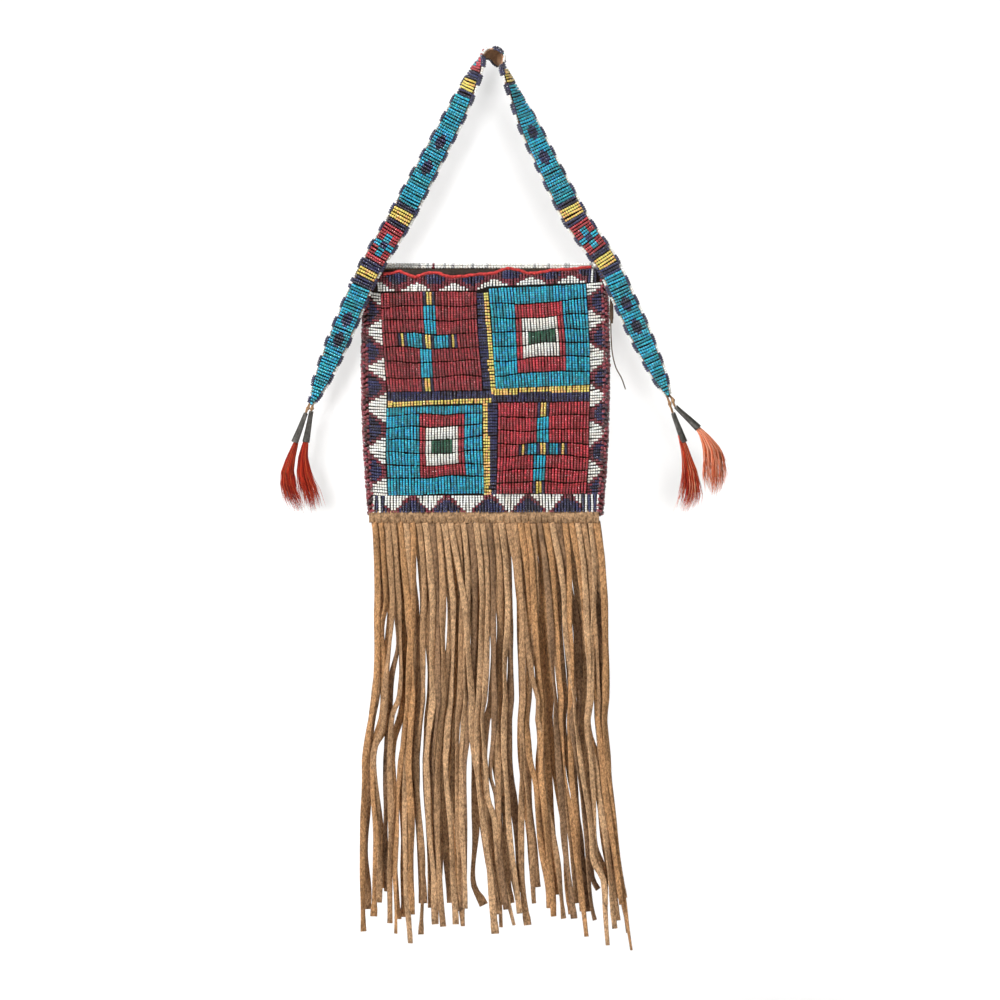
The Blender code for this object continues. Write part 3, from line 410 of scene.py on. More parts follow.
TIN = tin_material()
HAIR = [
    plain(f"hair_{i}", colour, 0.40, 0.32)
    for i, colour in enumerate((
        (0.36, 0.018, 0.010), (0.52, 0.032, 0.014), (0.66, 0.062, 0.022), (0.80, 0.150, 0.052),
        (0.20, 0.016, 0.010), (0.86, 0.330, 0.170), (1.00, 0.500, 0.320),
    ))
]
HAIR_DARK = plain("hair_dark", (0.05, 0.018, 0.012), 0.45, 0.35)


# Bead colours: each is a few shades, as in any lot of old glass beads

# A colour, how far its shades lie from it and how many there are
BEAD_COLOURS = {
    "red": ((0.46, 0.032, 0.042), 0.38, 8),
    # A darker red than red, the ground of the upper left field
    "old_red": ((0.33, 0.026, 0.033), 0.45, 8),
    "dark_red": ((0.20, 0.014, 0.028), 0.40, 6),
    "whip": ((0.22, 0.016, 0.026), 0.85, 7),
    "turquoise": ((0.012, 0.39, 0.56), 0.40, 8),
    "teal": ((0.014, 0.33, 0.40), 0.30, 7),
    "navy": ((0.016, 0.014, 0.074), 0.70, 6),
    "yellow": ((0.93, 0.63, 0.15), 0.18, 6),
    "white": ((0.96, 0.93, 0.88), 0.08, 5),
    "grey": ((0.42, 0.42, 0.42), 0.25, 4),
    "green": ((0.018, 0.10, 0.055), 0.35, 4),
}
BEAD_GLOSS = {"white": 0.38, "yellow": 0.34, "grey": 0.40}
bead_shades = {}


def shades(key):
    """The materials of one bead colour, made once."""
    if key not in bead_shades:
        colour, reach, count = BEAD_COLOURS[key]
        made = []
        drift = 0.02 if key in ("white", "grey") else 0.09
        for i in range(count):
            level = 1.0 + reach * (2.0 * (i + 0.5) / count - 1.0)
            hue = rng.normal(0.0, drift, 3)
            shade = tuple(min(1.0, value * level * (1.0 + h)) for value, h in zip(colour, hue))
            gloss = BEAD_GLOSS.get(key, 0.30) + 0.08 * rng.random()
            material = plain(f"bead_{key}_{i}", shade, gloss, 0.6, coat=1.0)
            shader_of(material).inputs["Coat Roughness"].default_value = 0.16
            made.append(material)
        bead_shades[key] = made
    return bead_shades[key]


# Beads

BEAD_SIDES = 7
BEAD_TILT = 0.07
BEAD_UNEVENNESS = 0.05
SHADE_SCATTER = 0.28
BEAD_PROFILE = ((1.0, 0.0), (0.86, 0.78), (0.40, 1.0), (0.40, -1.0), (0.86, -0.78))


def bead_template():
    """A drilled glass bead of radius 1 and half length 1 round its Z axis."""
    verts = []
    faces = []
    count = len(BEAD_PROFILE)
    for i in range(BEAD_SIDES):
        angle = 2.0 * math.pi * i / BEAD_SIDES
        for radius, z in BEAD_PROFILE:
            verts.append((radius * math.cos(angle), radius * math.sin(angle), z))
    for i in range(BEAD_SIDES):
        after = (i + 1) % BEAD_SIDES
        for j in range(count):
            up = (j + 1) % count
            faces.append((i * count + j, after * count + j, after * count + up, i * count + up))
    return np.array(verts), np.array(faces)


TEMPLATE_VERTS, TEMPLATE_FACES = bead_template()


def object_of(name, bm, materials):
    """An object from a bmesh, with its faces turned outward."""
    bmesh.ops.recalc_face_normals(bm, faces=bm.faces)
    mesh = bpy.data.meshes.new(name)
    bm.to_mesh(mesh)
    bm.free()
    for material in materials:
        mesh.materials.append(material)
    return link(name, mesh)


def mesh_object(name, verts, faces, materials, slots):
    """A smooth object from places, faces with equal corners and each face's material."""
    verts = np.asarray(verts, dtype=np.float32).reshape(-1, 3)
    faces = np.asarray(faces, dtype=np.int32)
    corners = faces.shape[1]
    mesh = bpy.data.meshes.new(name)
    mesh.vertices.add(len(verts))
    mesh.vertices.foreach_set("co", verts.ravel())
    mesh.loops.add(faces.size)
    mesh.loops.foreach_set("vertex_index", faces.ravel())
    mesh.polygons.add(len(faces))
    mesh.polygons.foreach_set("loop_start", np.arange(len(faces), dtype=np.int32) * corners)
    mesh.polygons.foreach_set("material_index", np.asarray(slots, dtype=np.int32))
    mesh.polygons.foreach_set("use_smooth", np.full(len(faces), True))
    for material in materials:
        mesh.materials.append(material)
    mesh.update(calc_edges=True)
    mesh.validate()
    return link(name, mesh)


def unit(vectors):
    """Vectors brought to length 1."""
    return vectors / np.maximum(np.linalg.norm(vectors, axis=-1, keepdims=True), 1e-12)


class Beads:
    """Beads gathered one by one or by strings, then made into one object."""

    def __init__(self):
        self.centres = []
        self.axes = []
        self.outs = []
        self.radii = []
        self.halves = []
        self.keys = []
        self.levels = []

    def add(self, centre, axis, out, radius, half, key, level=0.5):
        """level from 0 to 1 is the shade within the colour, which each bead misses a little."""
        self.levels.append(level)
        self.centres.append(centre)
        self.axes.append(axis)
        self.outs.append(out)
        self.radii.append(radius)
        self.halves.append(half)
        self.keys.append(key)

    def build(self, name):
        count = len(self.centres)
        centres = np.array(self.centres, dtype=float)
        axes = unit(np.array(self.axes, dtype=float) + rng.normal(0.0, BEAD_TILT, (count, 3)))
        outs = np.array(self.outs, dtype=float)
        outs = unit(outs - axes * np.sum(outs * axes, axis=1, keepdims=True))
        sides = np.cross(axes, outs)
        radii = np.array(self.radii) * (1.0 + rng.normal(0.0, BEAD_UNEVENNESS, count))
        halves = np.array(self.halves) * (1.0 + rng.normal(0.0, BEAD_UNEVENNESS, count))
        verts = (
            centres[:, None, :]
            + outs[:, None, :] * (TEMPLATE_VERTS[None, :, 0:1] * radii[:, None, None])
            + sides[:, None, :] * (TEMPLATE_VERTS[None, :, 1:2] * radii[:, None, None])
            + axes[:, None, :] * (TEMPLATE_VERTS[None, :, 2:3] * halves[:, None, None])
        )
        handed = np.sum(np.cross(outs, sides) * axes, axis=1)
        assert handed.min() > 0.0
        size = len(TEMPLATE_VERTS)
        faces = TEMPLATE_FACES[None, :, :] + (np.arange(count) * size)[:, None, None]
        materials = []
        starts = {}
        for key in sorted(set(self.keys)):
            starts[key] = len(materials)
            materials.extend(shades(key))
        picks = []
        for key, level in zip(self.keys, self.levels):
            size = len(shades(key))
            shade = level + rng.normal(0.0, SHADE_SCATTER)
            picks.append(starts[key] + int(np.clip(shade, 0.0, 0.999) * size))
        slots = np.repeat(picks, len(TEMPLATE_FACES))
        return mesh_object(name, verts, faces.reshape(-1, 4), materials, slots)


# Strap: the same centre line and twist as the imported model

HIDE = 0.0015
GAP = 0.0003
STRAP_TOP_WIDTH = 0.0100
STRAP_WIDTH = 0.0146
STRAP_TAPER_LENGTH = 0.120
FOLD_RADIUS = 0.0050
FOLD_TURN = math.radians(75.0)
FOLD_PULL_SHARE = 0.40
FOLD_DROP = 0.0032
FOLD_DROP_REACH = 0.0130
# Distance from the fold, right of it positive, and the strap's turn there in degrees
TWIST_TURNS = (
    (-0.052, 0.0), (-0.044, 10.0), (-0.034, 28.0), (-0.022, 42.0), (-0.0145, 58.0), (-0.0090, 76.0),
    (-0.0045, 96.0), (-0.0015, 122.0),
    (0.0025, 140.0), (0.0070, 140.0), (0.0110, 112.0), (0.0150, 80.0), (0.0240, 66.0), (0.0330, 58.0),
    (0.0420, 44.0), (0.0520, 26.0), (0.0640, 9.0), (0.0780, 0.0),
)
TWIST_SOFTNESS = 0.0020
TAB_WIDTH = 0.0132
TAB_OUTLINE_SHARES = (
    (0.0, 1.0),
    (0.23, 1.0),
    (0.46, 1.0),
    (0.67, 0.83),
    (0.81, 0.69),
    (0.90, 0.47),
    (1.0, 0.15),
)
POUCH_SHIFT = 0.00325
POUCH_DROP = 0.1425
POUCH_WIDTH = 0.1605
POUCH_HEIGHT = 0.1600


def spread(low, high, step):
    """Even readings from low to high, no more than a step apart."""
    count = max(1, math.ceil((high - low) / step))
    return [low + (high - low) * i / count for i in range(count + 1)]


def hermite(start, start_pull, end, end_pull, t):
    """A place on the curve between two places, with a pull at each."""
    s = 1.0 - t
    return (
        start * (s * s * (1.0 + 2.0 * t))
        + start_pull * (t * s * s)
        + end * (t * t * (3.0 - 2.0 * t))
        - end_pull * (t * t * s)
    )


class Arm:
    """One half of the strap, from the middle of the fold to the tab's tip."""

    def __init__(self, side, hinge, bend_shares, tab):
        self.side = side
        self.name = "left" if side == LEFT else "right"
        self.hinge = Vector((side * hinge[0], 0.0, -hinge[1]))
        self.bend = Vector((self.hinge.x * bend_shares[0], 0.0, self.hinge.z * bend_shares[1]))
        self.tip = self.hinge + Vector((side * tab[0], 0.0, -tab[1]))
        self.tab_length = (self.tip - self.hinge).length
        self.tab_along = (self.tip - self.hinge).normalized()
        self.tab_across = Vector((-side * self.tab_along.z, 0.0, side * self.tab_along.x))
        self.points = self.centre_points()
        steps = [(b - a).length for a, b in zip(self.points, self.points[1:])]
        self.lengths = [0.0] + list(np.cumsum(steps))
        self.length = self.lengths[-1]

    def centre_points(self):
        """Round the fold, down to the bend and on to the hinge."""
        points = []
        for turn in spread(0.0, FOLD_TURN, FOLD_TURN / 12.0):
            x = self.side * FOLD_RADIUS * math.sin(turn)
            points.append(Vector((x, 0.0, HIDE / 2.0 - FOLD_RADIUS + FOLD_RADIUS * math.cos(turn))))
        start = points[-1]
        along = Vector((self.side * math.cos(FOLD_TURN), 0.0, -math.sin(FOLD_TURN)))
        bend_along = (self.hinge - start).normalized()
        first = (self.bend - start).length
        second = (self.hinge - self.bend).length
        for t in spread(0.0, 1.0, 1.0 / 40.0)[1:]:
            points.append(hermite(start, along * first * FOLD_PULL_SHARE, self.bend, bend_along * first, t))
        for t in spread(0.0, 1.0, 1.0 / 20.0)[1:]:
            points.append(hermite(self.bend, bend_along * second, self.hinge, self.tab_along * second, t))
        return points

    def place(self, distance):
        """The centre line's place and direction at a distance from the fold."""
        i = int(np.clip(np.searchsorted(self.lengths, distance), 1, len(self.points) - 1))
        before, after = self.points[i - 1], self.points[i]
        share = (distance - self.lengths[i - 1]) / (self.lengths[i] - self.lengths[i - 1])
        return before.lerp(after, share), (after - before).normalized()

    def direction(self, distance, reach=0.0009):
        """The centre line's direction, evened over a short reach."""
        low = self.place(abs(distance - reach))[1]
        if distance < reach:
            low = Vector((low.x, 0.0, -low.z))
        high = self.place(min(distance + reach, self.length))[1]
        return (low + high).normalized()

    def twist(self, distance):
        """The strap's turn about its own length, evened over a short reach."""
        places, turns = zip(*TWIST_TURNS)
        around = self.side * distance + TWIST_SOFTNESS * np.linspace(-1.0, 1.0, 9)
        return math.radians(float(np.mean(np.interp(around, places, turns))))

    def frame(self, distance):
        """Centre point, the outward width direction, the beads' side and the direction down the strap."""
        if distance > self.length:
            point = self.hinge + self.tab_along * (distance - self.length)
            return point, self.tab_across, Vector((0.0, -1.0, 0.0)), self.tab_along
        point = self.place(distance)[0]
        point.z -= FOLD_DROP * math.exp(-((distance / FOLD_DROP_REACH) ** 2))
        down = self.direction(distance)
        along = down * self.side
        outward = Vector((-along.z, 0.0, along.x))
        twist = self.twist(distance)
        back = Vector((0.0, 1.0, 0.0))
        width = outward * math.cos(twist) + back * math.sin(twist)
        bead_side = outward * math.sin(twist) - back * math.cos(twist)
        return point, width, bead_side, down

    def half_width(self, distance):
        if distance > self.length:
            share = (distance - self.length) / self.tab_length
            shares, values = zip(*TAB_OUTLINE_SHARES)
            return TAB_WIDTH / 2.0 * float(np.interp(share, shares, values))
        share = min(distance / STRAP_TAPER_LENGTH, 1.0)
        full = STRAP_TOP_WIDTH + (STRAP_WIDTH - STRAP_TOP_WIDTH) * share
        late = max(0.0, (distance - STRAP_TAPER_LENGTH) / (self.length - STRAP_TAPER_LENGTH))
        return (full + (TAB_WIDTH - STRAP_WIDTH) * late) / 2.0

    def spot(self, distance, across, out):
        """A place beside the centre line."""
        point, width, bead_side, down = self.frame(distance)
        return point + width * across + bead_side * out

    def arrow(self, distance, across, out, down_share=0.0):
        """A direction given by its parts across, outward and down the strap."""
        point, width, bead_side, down = self.frame(distance)
        return width * across + bead_side * out + down * down_share


POUCH_LEFT_REACH = POUCH_WIDTH / 2.0 + POUCH_SHIFT
POUCH_RIGHT_REACH = POUCH_WIDTH / 2.0 - POUCH_SHIFT
LEFT_ARM = Arm(LEFT, (POUCH_LEFT_REACH + 0.0005, POUCH_DROP + 0.0114), (0.668, 0.680), (0.0327, 0.0769))
RIGHT_ARM = Arm(RIGHT, (POUCH_RIGHT_REACH + 0.0024, POUCH_DROP + 0.0032), (0.664, 0.720), (0.0366, 0.0799))
ARMS = (LEFT_ARM, RIGHT_ARM)


# The lace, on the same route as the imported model's

LACE_RADIUS = 0.0004
LACE_DEPTH = 0.0044
LACE_STEP = 0.0017
TIE_BOTTOM = -POUCH_DROP + GAP + 0.0017 + GAP
LACE_TOP = TIE_BOTTOM - GAP
LACE_ROUTE = (
    (0.0019, 0.0),
    (0.0016, 0.0155),
    (0.0013, 0.0295),
    (0.0014, 0.0425),
    (0.0022, 0.0555),
    (0.0045, 0.0655),
    (0.0082, 0.0725),
    (0.0109, 0.0800),
)


def smooth_route(route, step):
    """Even points along a smooth curve through a route's own points."""
    ends = [route[0] * 2.0 - route[1]] + route + [route[-1] * 2.0 - route[-2]]
    fine = []
    for i in range(1, len(ends) - 2):
        before, start, end, after = ends[i - 1 : i + 3]
        for t in spread(0.0, 1.0, 1.0 / 16.0)[:-1]:
            fine.append(hermite(start, (end - before) / 2.0, end, (after - start) / 2.0, t))
    fine.append(route[-1])
    steps = [(b - a).length for a, b in zip(fine, fine[1:])]
    sums = np.concatenate([[0.0], np.cumsum(steps)])
    wanted = np.linspace(0.0, sums[-1], round(sums[-1] / step) + 1)
    places = np.array([tuple(p) for p in fine])
    even = [Vector([float(np.interp(w, sums, places[:, k])) for k in range(3)]) for w in wanted]
    return even, float(sums[-1])


def make_lace():
    """The thin lace that hangs from the right tie, a cord."""
    route = [Vector((POUCH_RIGHT_REACH + across, LACE_DEPTH, LACE_TOP - drop)) for across, drop in LACE_ROUTE]
    points, length = smooth_route(route, LACE_STEP)
    curve = bpy.data.curves.new("right_lace", "CURVE")
    curve.dimensions = "3D"
    curve.bevel_depth = LACE_RADIUS
    curve.bevel_resolution = 3
    curve.use_fill_caps = True
    spline = curve.splines.new("POLY")
    spline.points.add(len(points) - 1)
    for knot, place in zip(spline.points, points):
        knot.co = (*place, 1.0)
    curve.materials.append(HIDE_DARK)
    lace = link("right_lace", curve)
    settle(lace, "strap", "hide_dark", "right_tie_lace")


make_lace()


# Strap hide

HINGE_CLEARANCE = 0.0002
HINGE_LAP = 0.0070
HINGE_BEND = 0.0010
HINGE_SHARE = 0.93
STRAP_STEP = 0.0018


def closed_tube(name, sections, materials, slots_of=None):
    """A capped tube from sections of equal count; slots_of gives a face's slot from its index round."""
    around = len(sections[0])
    bm = bmesh.new()
    rings = [[bm.verts.new(point) for point in section] for section in sections]
    for ring, after in zip(rings, rings[1:]):
        for j in range(around):
            k = (j + 1) % around
            face = bm.faces.new((ring[j], ring[k], after[k], after[j]))
            face.material_index = slots_of(j) if slots_of else 0
            face.smooth = True
    for ring in (rings[0], rings[-1]):
        bm.faces.new(ring)
    return object_of(name, bm, materials)


def strip_outline(half):
    """A hide strip's section with rounded edges: back, outer edge, front, inner edge."""
    h = HIDE / 2.0
    e = min(h * 0.7, half * 0.3)
    flat = [half - e, half / 3.0, -half / 3.0, -half + e]
    edge = [(half, -h * 0.35), (half, h * 0.35)]
    back = [(x, -h) for x in reversed(flat)]
    front = [(x, h) for x in flat]
    return back + edge + front + [(-x, -z) for x, z in edge]


STRAP_MATERIALS = (HIDE_BROWN, HIDE_EDGE, HIDE_SOIL_AND_SHADE)
EDGE_FACES = (3, 4, 5, 9, 10, 11)
# Faces under the beads take the near-black hide: painted shade between the bead rows, with some soil
UNDER_BEAD_FACES = (6, 7, 8)


def edge_slot(index):
    if index in UNDER_BEAD_FACES:
        return 2
    return 1 if index in EDGE_FACES else 0


def arm_sections(arm, distances):
    sections = []
    for distance in distances:
        wobble = 0.00012 * math.sin(distance * 900.0) + 0.0001 * math.sin(distance * 1730.0 + arm.side)
        outline = strip_outline(arm.half_width(distance) + wobble)
        sections.append([arm.spot(distance, across, out) for across, out in outline])
    return sections


def make_strap_hide():
    """The strap down to both hinges, and the two tabs."""
    arms = [arm_sections(arm, spread(0.0, arm.length - HINGE_CLEARANCE, STRAP_STEP)) for arm in ARMS]
    strap = closed_tube("strap_hide", arms[0][::-1] + arms[1][1:], STRAP_MATERIALS, edge_slot)
    settle(strap, "strap", "hide_brown", "strap_core")
    for arm in ARMS:
        distances = spread(arm.length + HINGE_CLEARANCE, arm.length + arm.tab_length, STRAP_STEP)
        tab = closed_tube(f"{arm.name}_tab_hide", arm_sections(arm, distances), STRAP_MATERIALS, edge_slot)
        settle(tab, f"{arm.name}_tab", "hide_brown", f"{arm.name}_tab_core")


make_strap_hide()


def make_hinge_hides():
    """The hide at each hinge where a strap end flaps: it lies just inside the strap's hide on both sides."""
    for arm in ARMS:
        distances = spread(arm.length - HINGE_LAP, arm.length + HINGE_LAP, 0.0006)
        sections = []
        for ring in arm_sections(arm, distances):
            middle = sum(ring, Vector()) / len(ring)
            sections.append([middle + (corner - middle) * HINGE_SHARE for corner in ring])
        piece = closed_tube(f"{arm.name}_hinge_hide", sections, STRAP_MATERIALS, edge_slot)
        start = arm.spot(arm.length - HINGE_BEND, 0.0, 0.0)
        end = arm.spot(arm.length + HINGE_BEND, 0.0, 0.0)
        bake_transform(piece)


make_hinge_hides()


# Strap beadwork

ROW_PITCH = 0.00203
BEAD_LENGTH = 0.00152
ROW_RADIUS = 0.00083
ROW_ARCH = 0.00050
ROW_FILL = 0.94
ROW_INSET = 0.0004

# Distances from the fold where each row colour ends, and the crosses' middles
ROW_COLOURS = {
    LEFT: (
        (0.0147, "top"), (0.0192, "red"), (0.0240, "navy"), (0.0325, "yellow"), (0.0370, "navy"),
        (0.1160, "turquoise"), (0.1203, "navy"), (0.1275, "yellow"), (0.1325, "navy"), (0.1592, "red"),
        (0.1643, "navy"), (0.1720, "yellow"), (0.1780, "navy"), (1.0, "turquoise"),
    ),
    RIGHT: (
        (0.0040, "navy"), (0.0125, "top"), (0.0153, "navy"), (0.0257, "yellow"), (0.0292, "navy"),
        (0.1104, "turquoise"), (0.1148, "navy"), (0.1238, "yellow"), (0.1276, "navy"), (0.1507, "red"),
        (0.1534, "navy"), (0.1627, "yellow"), (0.1685, "navy"), (1.0, "turquoise"),
    ),
}
DARK_CROSSES = {LEFT: (0.0710, 0.0882, 0.2011, 0.2155), RIGHT: (0.0611, 0.0796, 0.1903, 0.2052)}
BLOCK_CROSS = {LEFT: 0.1458, RIGHT: 0.1391}
CROSS_HALF_BEADS = {0: 1.6, 1: 1.6, 2: 0.6}
BLOCK_HALF_BEADS = 1.6
BLOCK_ARM_BEADS = 4.4


def row_colour(arm, distance, place):
    """The colour of a strap bead; place counts beads outward from the row's middle."""
    name = next(colour for end, colour in ROW_COLOURS[arm.side] if distance < end)
    if name == "top":
        if place < -0.4 and arm.side == LEFT:
            return "red"
        return "navy" if int(distance / ROW_PITCH) % 2 else "teal"
    if name == "turquoise":
        for middle in DARK_CROSSES[arm.side]:
            row = round(abs(distance - middle) / ROW_PITCH)
            if row in CROSS_HALF_BEADS and abs(place) < CROSS_HALF_BEADS[row]:
                return "navy"
        return "teal" if rng.random() < 0.25 else "turquoise"
    if name == "red":
        row = round((distance - BLOCK_CROSS[arm.side]) / ROW_PITCH - 0.5)
        if row in (-1, 0):
            if abs(place) < BLOCK_HALF_BEADS:
                return "navy"
            return "turquoise" if abs(place) < BLOCK_ARM_BEADS else "red"
        if -4 <= row <= 3 and abs(place) < BLOCK_HALF_BEADS:
            return "turquoise"
        return "red"
    return name


def make_row(beads, arm, distance):
    """One row of beads over the strap's front, each row a little askew, bowed and uneven."""
    half = arm.half_width(distance) - ROW_INSET
    count = max(1, round(2.0 * half / BEAD_LENGTH))
    low = HIDE / 2.0 + GAP + ROW_RADIUS * 0.92
    lean = rng.normal(0.0, 0.00011)
    drift = rng.normal(0.0, 0.00007)
    bow = rng.normal(0.00010, 0.00014)
    lift = rng.normal(0.0, 0.00012)
    size = ROW_RADIUS * (1.0 + rng.normal(0.0, 0.05))
    level = rng.random()
    for i in range(count):
        share = (2 * i + 1) / count - 1.0
        across = share * half
        out = low + lift + ROW_ARCH * (1.0 - share ** 2) + rng.normal(0.0, 0.00005)
        here = distance + lean * share + drift + bow * (1.0 - share ** 2) + rng.normal(0.0, 0.00004)
        centre = arm.spot(here, across, out)
        axis = arm.arrow(here, 1.0, -ROW_ARCH * 2.0 * share / half, lean / half)
        key = row_colour(arm, distance, i - (count - 1) / 2.0)
        beads.add(centre, axis, arm.arrow(here, 0.0, 1.0), size, half / count * ROW_FILL, key, level)


# Edging: navy wraps over the hide's edge in groups, with small white beads between them

# By arm and edge, the middle of a group of wraps and the distance to the next one
EDGING_PERIODS = {
    (LEFT, -1): (0.0364, 0.01360),
    (LEFT, 1): (0.0408, 0.01364),
    (RIGHT, -1): (0.0300, 0.01341),
    (RIGHT, 1): (0.0509, 0.01385),
}
WRAP_PITCH = 0.00148
WRAP_BEAD = 0.00084
WRAP_REACH = 0.00120
WRAP_DEPTH = 0.00145
# Each bead's turn from straight outward to the front, and how far it stands out
WRAP_TURNS = ((72.0, 0.90), (28.0, 1.0), (-18.0, 1.0), (-64.0, 0.88))
WRAPS = 5
FOLD_INSET = 0.0002
HINGE_INSET = 0.0004
SMALL_BEAD = 0.00078
TAB_BEAD_SHARE = 0.985


def edge_wrap(beads, arm, sign, distance, reach):
    """Beads over the hide's edge, from the front round to the back."""
    half = arm.half_width(distance)
    for turn_deg, bulge in WRAP_TURNS:
        turn = math.radians(turn_deg)
        across = half - 0.0001 + reach * bulge * math.cos(turn)
        out = 0.0001 + WRAP_DEPTH * bulge * math.sin(turn)
        centre = arm.spot(distance, sign * across, out)
        axis = arm.arrow(distance, -sign * math.sin(turn), math.cos(turn))
        outside = arm.arrow(distance, sign * math.cos(turn), math.sin(turn))
        beads.add(centre, axis, outside, WRAP_BEAD, WRAP_BEAD * 0.80, "navy", 0.3)


def edge_stretch(arm, sign, distance):
    """How much longer the strap's edge runs than its centre line."""
    step = 0.0004
    reach = sign * (arm.half_width(distance) + WRAP_REACH)
    first = arm.spot(max(0.0, distance - step), reach, 0.0)
    last = arm.spot(distance + step, reach, 0.0)
    return float(np.clip((last - first).length / (step + min(step, distance)), 0.7, 3.2))


def make_edging(beads, arm, sign, start, end):
    """Wraps in groups along one edge, 1 for the outer and -1 for the inner, and small beads between them."""
    first, period = EDGING_PERIODS[arm.side, sign]
    span = WRAPS * WRAP_PITCH
    furthest = arm.length + arm.tab_length - 0.001
    placed = []
    for k in range(-4, 24):
        middle = first + period * k + rng.normal(0.0, 0.0002)
        if middle + span / 2.0 < start or middle - span / 2.0 > end:
            continue
        stretch = edge_stretch(arm, sign, float(np.clip(middle, 0.0005, furthest)))
        places = [middle + ((i + 0.5) / WRAPS - 0.5) * span / stretch for i in range(WRAPS)]
        kept = [(i, distance) for i, distance in enumerate(places) if start < distance < end]
        if len(kept) < WRAPS // 2:
            continue
        for i, distance in kept:
            corner = abs(2.0 * (i + 0.5) / WRAPS - 1.0)
            reach = WRAP_REACH * (1.0 - 0.45 * corner ** 3)
            edge_wrap(beads, arm, sign, distance, reach)
            placed.append(distance)
    small = SMALL_BEAD
    distance = start + small
    while distance < end:
        stretch = edge_stretch(arm, sign, min(distance, furthest))
        if all(abs(distance - other) > WRAP_BEAD + small * 0.9 for other in placed):
            half = arm.half_width(distance)
            centre = arm.spot(distance, sign * (half + 0.00058), 0.00045 + rng.normal(0.0, 0.00008))
            outside = arm.arrow(distance, sign * 0.8, 0.6)
            along = arm.arrow(distance, 0.0, 0.0, 1.0)
            beads.add(centre, along, outside, small * 1.10, small * 0.95, "white")
            distance += small * 2.0 / max(stretch, 0.7)
        else:
            distance += small * 0.25


def bead_strip(arm, name, body, places, start, end):
    """The bead rows of an arm or a tab, and the edging of both its sides."""
    rows = Beads()
    edging = Beads()
    for distance in places:
        make_row(rows, arm, distance)
    make_edging(edging, arm, 1, start, end)
    make_edging(edging, arm, -1, start, end)
    settle(rows.build(f"{name}_bead_rows"), body, "beads_turquoise", f"{name}_beadwork")
    edges = (f"{name}_outer_edging", f"{name}_inner_edging")
    settle(edging.build(f"{name}_bead_edging"), body, "beads_navy", *edges)


def make_strap_beads():
    for arm in ARMS:
        count = round(arm.length / ROW_PITCH)
        places = [arm.length * (i + 0.5) / count for i in range(count)]
        bead_strip(arm, f"{arm.name}_arm", "strap", places, FOLD_INSET, arm.length - HINGE_INSET)
        end = arm.length + arm.tab_length * TAB_BEAD_SHARE
        distance = arm.length + ROW_PITCH * 0.46
        places = []
        while distance < end:
            places.append(distance)
            distance += ROW_PITCH
        tab = f"{arm.name}_tab"
        bead_strip(arm, tab, tab, places, arm.length + HINGE_INSET, end)


make_strap_beads()


# Pouch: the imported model's panels

EDGE_BEADING = 0.0017
HALF_WIDTH = POUCH_WIDTH / 2.0 - EDGE_BEADING - GAP
POUCH_SETBACK = 0.0075
SEAM_HALF = 0.0003
POUCH_SWELL = 0.0045
POUCH_BACK_FLAT = 0.0022
SIDE_BOW_SHARE = 0.156
WIDEST_SHARE = 0.40
BACK_RISE = 0.0019
SKIN_INNER = HIDE + GAP


def side_scale(depth):
    """The pouch's width at a depth below the mouth, as a share of its greatest."""
    return 1.0 - SIDE_BOW_SHARE * (depth / POUCH_HEIGHT - WIDEST_SHARE) ** 2


def half_gap(across, depth, face):
    """How far a panel's inside lies from the middle plane."""
    side = min(abs(across) / HALF_WIDTH, 1.0)
    foot = min(max(depth / POUCH_HEIGHT, 0.0), 1.0)
    swell = POUCH_SWELL * (1.0 - side ** 2.4) * (1.0 - foot ** 4.0)
    return SEAM_HALF + (min(swell, POUCH_BACK_FLAT) if face == BACK else swell)


def pouch_place(across, depth, face, out):
    """A place off a panel's inside, from how far it lies across, down and outward."""
    return Vector((
        across * side_scale(depth) - POUCH_SHIFT,
        POUCH_SETBACK + face * (half_gap(across, depth, face) + out),
        -POUCH_DROP - depth,
    ))


def sway(x, y, seed, size):
    """A slow waver over the photograph's places, for hand-sewn lines."""
    return size * (
        math.sin(x * 0.071 + y * 0.043 + seed)
        + 0.6 * math.sin(x * 0.027 - y * 0.089 + 2.1 * seed)
        + 0.4 * math.sin(x * 0.155 + y * 0.131 + 3.7 * seed)
    )


def pouch_hide_point(u, v, face, out):
    """A place on a panel: u and v run from 0 to 1 across and down, with shallow folds in the hide."""
    rise = BACK_RISE if face == BACK else 0.0
    across = HALF_WIDTH * (2.0 * u - 1.0)
    depth = -rise + (POUCH_HEIGHT + rise) * v
    inside = min(1.0, 8.0 * min(u, 1.0 - u), 8.0 * v, 8.0 * (1.0 - v))
    folds = 0.0
    if face == BACK:
        folds = 0.00022 * math.sin(9.0 * u + 5.0 * v) + 0.00018 * math.sin(17.0 * v - 6.0 * u + 1.0)
    return pouch_place(across, depth, face, out + inside * folds)


def make_panel(name, face, materials, node, slot):
    """A hide panel of its real thickness as a fine closed sheet."""
    count = 44
    bm = bmesh.new()
    layers = []
    for out in (0.0, HIDE):
        layers.append([
            [bm.verts.new(pouch_hide_point(i / count, j / count, face, out)) for i in range(count + 1)]
            for j in range(count + 1)
        ])
    for k, grid in enumerate(layers):
        for j in range(count):
            for i in range(count):
                made = bm.faces.new((grid[j][i], grid[j][i + 1], grid[j + 1][i + 1], grid[j + 1][i]))
                made.material_index = 1 if k == 1 and len(materials) > 1 else 0
    inner, outer = layers
    rim = [(0, i) for i in range(count)] + [(j, count) for j in range(count)]
    rim += [(count, i) for i in range(count, 0, -1)] + [(j, 0) for j in range(count, 0, -1)]
    for (a, b), (c, d) in zip(rim, rim[1:] + rim[:1]):
        bm.faces.new((inner[a][b], inner[c][d], outer[c][d], outer[a][b]))
    for made in bm.faces:
        made.smooth = True
    settle(object_of(name, bm, materials), "pouch", slot, node)
